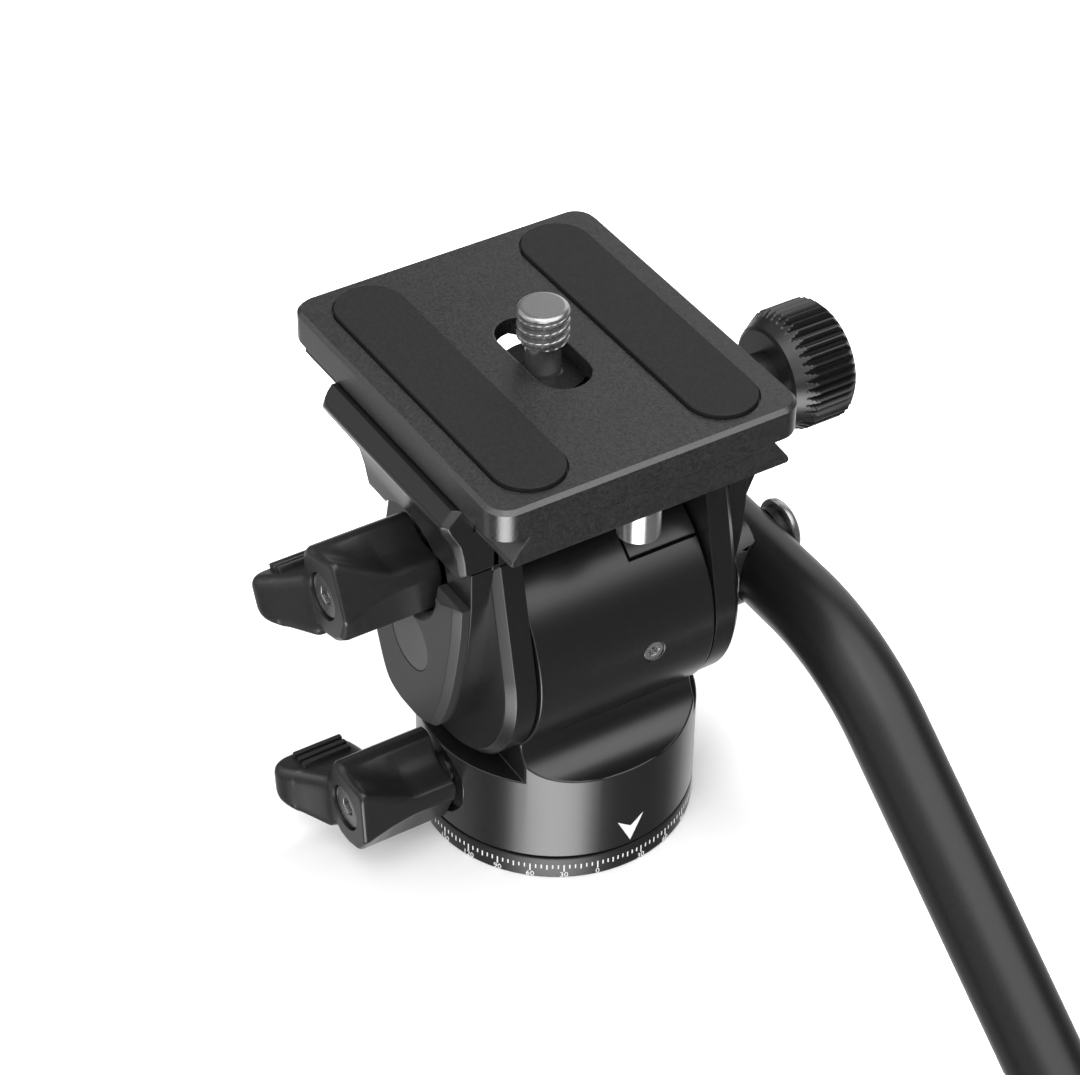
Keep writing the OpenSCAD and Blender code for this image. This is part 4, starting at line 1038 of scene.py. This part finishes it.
def buildStage():
    s = stageSizes
    clearPick()
    bpy.ops.mesh.primitive_plane_add(size=s["floorSide"], location=(0, 0, s["floor"]))
    floor = newest("paleFloor")
    bpy.ops.object.transform_apply(location=True, rotation=False, scale=False)
    edge, side, x, y = s["plinth"], s["plinthSide"], s["notchX"], s["notchY"]
    points = [(x, y), (side, y), (side, edge), (-edge, edge), (-edge, -edge), (x, -edge)]
    plinth = outlineSolid("palePlinth", points, "Z", s["plinthLow"], s["plinthTop"])
    for obj in (floor, plinth):
        obj.data.materials.append(paleMaterial(obj.name))
        obj.visible_glossy = False
        obj.visible_shadow = False


# direction, cosine where it starts and where it is full, strength
softBoxes = {
    "lowFront": ((-0.43, -0.65, -0.63), 0.87, 0.985, 4.9),
    "lowRight": ((0.45, -0.64, -0.63), 0.70, 0.95, 0.03),
    "lowLeft": ((-0.45, 0.62, -0.63), 0.75, 0.95, 0.35),
    "lowBack": ((0.42, 0.66, -0.63), 0.70, 0.93, 0.8),
    "top": ((0.12, -0.38, 0.92), 0.70, 0.90, 1.65),
    "upperLeft": ((-0.52, -0.05, 0.86), 0.84, 0.97, 0.9),
    "rearTop": ((0.41, 0.66, 0.63), 0.80, 0.96, 0.11),
    "rearRight": ((0.76, 0.57, 0.32), 0.90, 0.98, 0.7),
    "rearLeft": ((-0.58, 0.66, 0.47), 0.84, 0.96, 0.45),
    "front": ((-0.45, -0.70, 0.35), 0.90, 0.98, 1.2),
    "below": ((0.3, 0.2, -0.93), 0.85, 0.96, 0.15),
    "left": ((-0.95, 0.1, 0.3), 0.80, 0.96, 0.4),
    "right": ((0.92, 0.2, -0.35), 0.80, 0.96, 0.4),
}
ambient = 0.065


def buildWorld():
    world = bpy.data.worlds.new("softStudio")
    scene.world = world
    world.use_nodes = True
    nodes, links = world.node_tree.nodes, world.node_tree.links
    sky = nodes["Background"]
    coords = nodes.new("ShaderNodeTexCoord")
    total = None
    for direction, start, full, strength in softBoxes.values():
        dot = nodes.new("ShaderNodeVectorMath")
        dot.operation = "DOT_PRODUCT"
        dot.inputs[1].default_value = Vector(direction).normalized()
        links.new(coords.outputs["Generated"], dot.inputs[0])
        ramp = nodes.new("ShaderNodeMapRange")
        ramp.interpolation_type = "SMOOTHSTEP"
        ramp.inputs["From Min"].default_value = start
        ramp.inputs["From Max"].default_value = full
        ramp.inputs["To Max"].default_value = strength
        links.new(dot.outputs["Value"], ramp.inputs["Value"])
        add = nodes.new("ShaderNodeMath")
        links.new(ramp.outputs["Result"], add.inputs[0])
        if total is None:
            add.inputs[1].default_value = ambient
        else:
            links.new(total, add.inputs[1])
        total = add.outputs[0]
    path = nodes.new("ShaderNodeLightPath")
    choose = nodes.new("ShaderNodeMix")
    choose.data_type = "FLOAT"
    links.new(path.outputs["Is Camera Ray"], choose.inputs["Factor"])
    links.new(total, choose.inputs["A"])
    choose.inputs["B"].default_value = 1
    sky.inputs["Color"].default_value = (1, 1, 1, 1)
    links.new(choose.outputs["Result"], sky.inputs["Strength"])


# place, aim, size, power; lamps shape the shadows, the world gives the gloss
lamps = {
    "keyLamp": ((0.35, 0.25, 0.75), (0, 0, 0.02), 0.45, 6.0),
    "fillLamp": ((-0.45, -0.35, 0.65), (0, 0, 0.02), 0.6, 3.0),
}


def buildLamps():
    for name, (place, aim, size, power) in lamps.items():
        data = bpy.data.lights.new(name, "AREA")
        data.shape = "DISK"
        data.size = size
        data.energy = power
        lamp = bpy.data.objects.new(name, data)
        scene.collection.objects.link(lamp)
        lamp.location = place
        lamp.rotation_euler = (Vector(aim) - Vector(place)).to_track_quat("-Z", "Y").to_euler()
        lamp.visible_glossy = False
        lamp.visible_camera = False


buildStage()
buildWorld()
buildLamps()
scene.view_settings.view_transform = "Standard"
print("stage made")
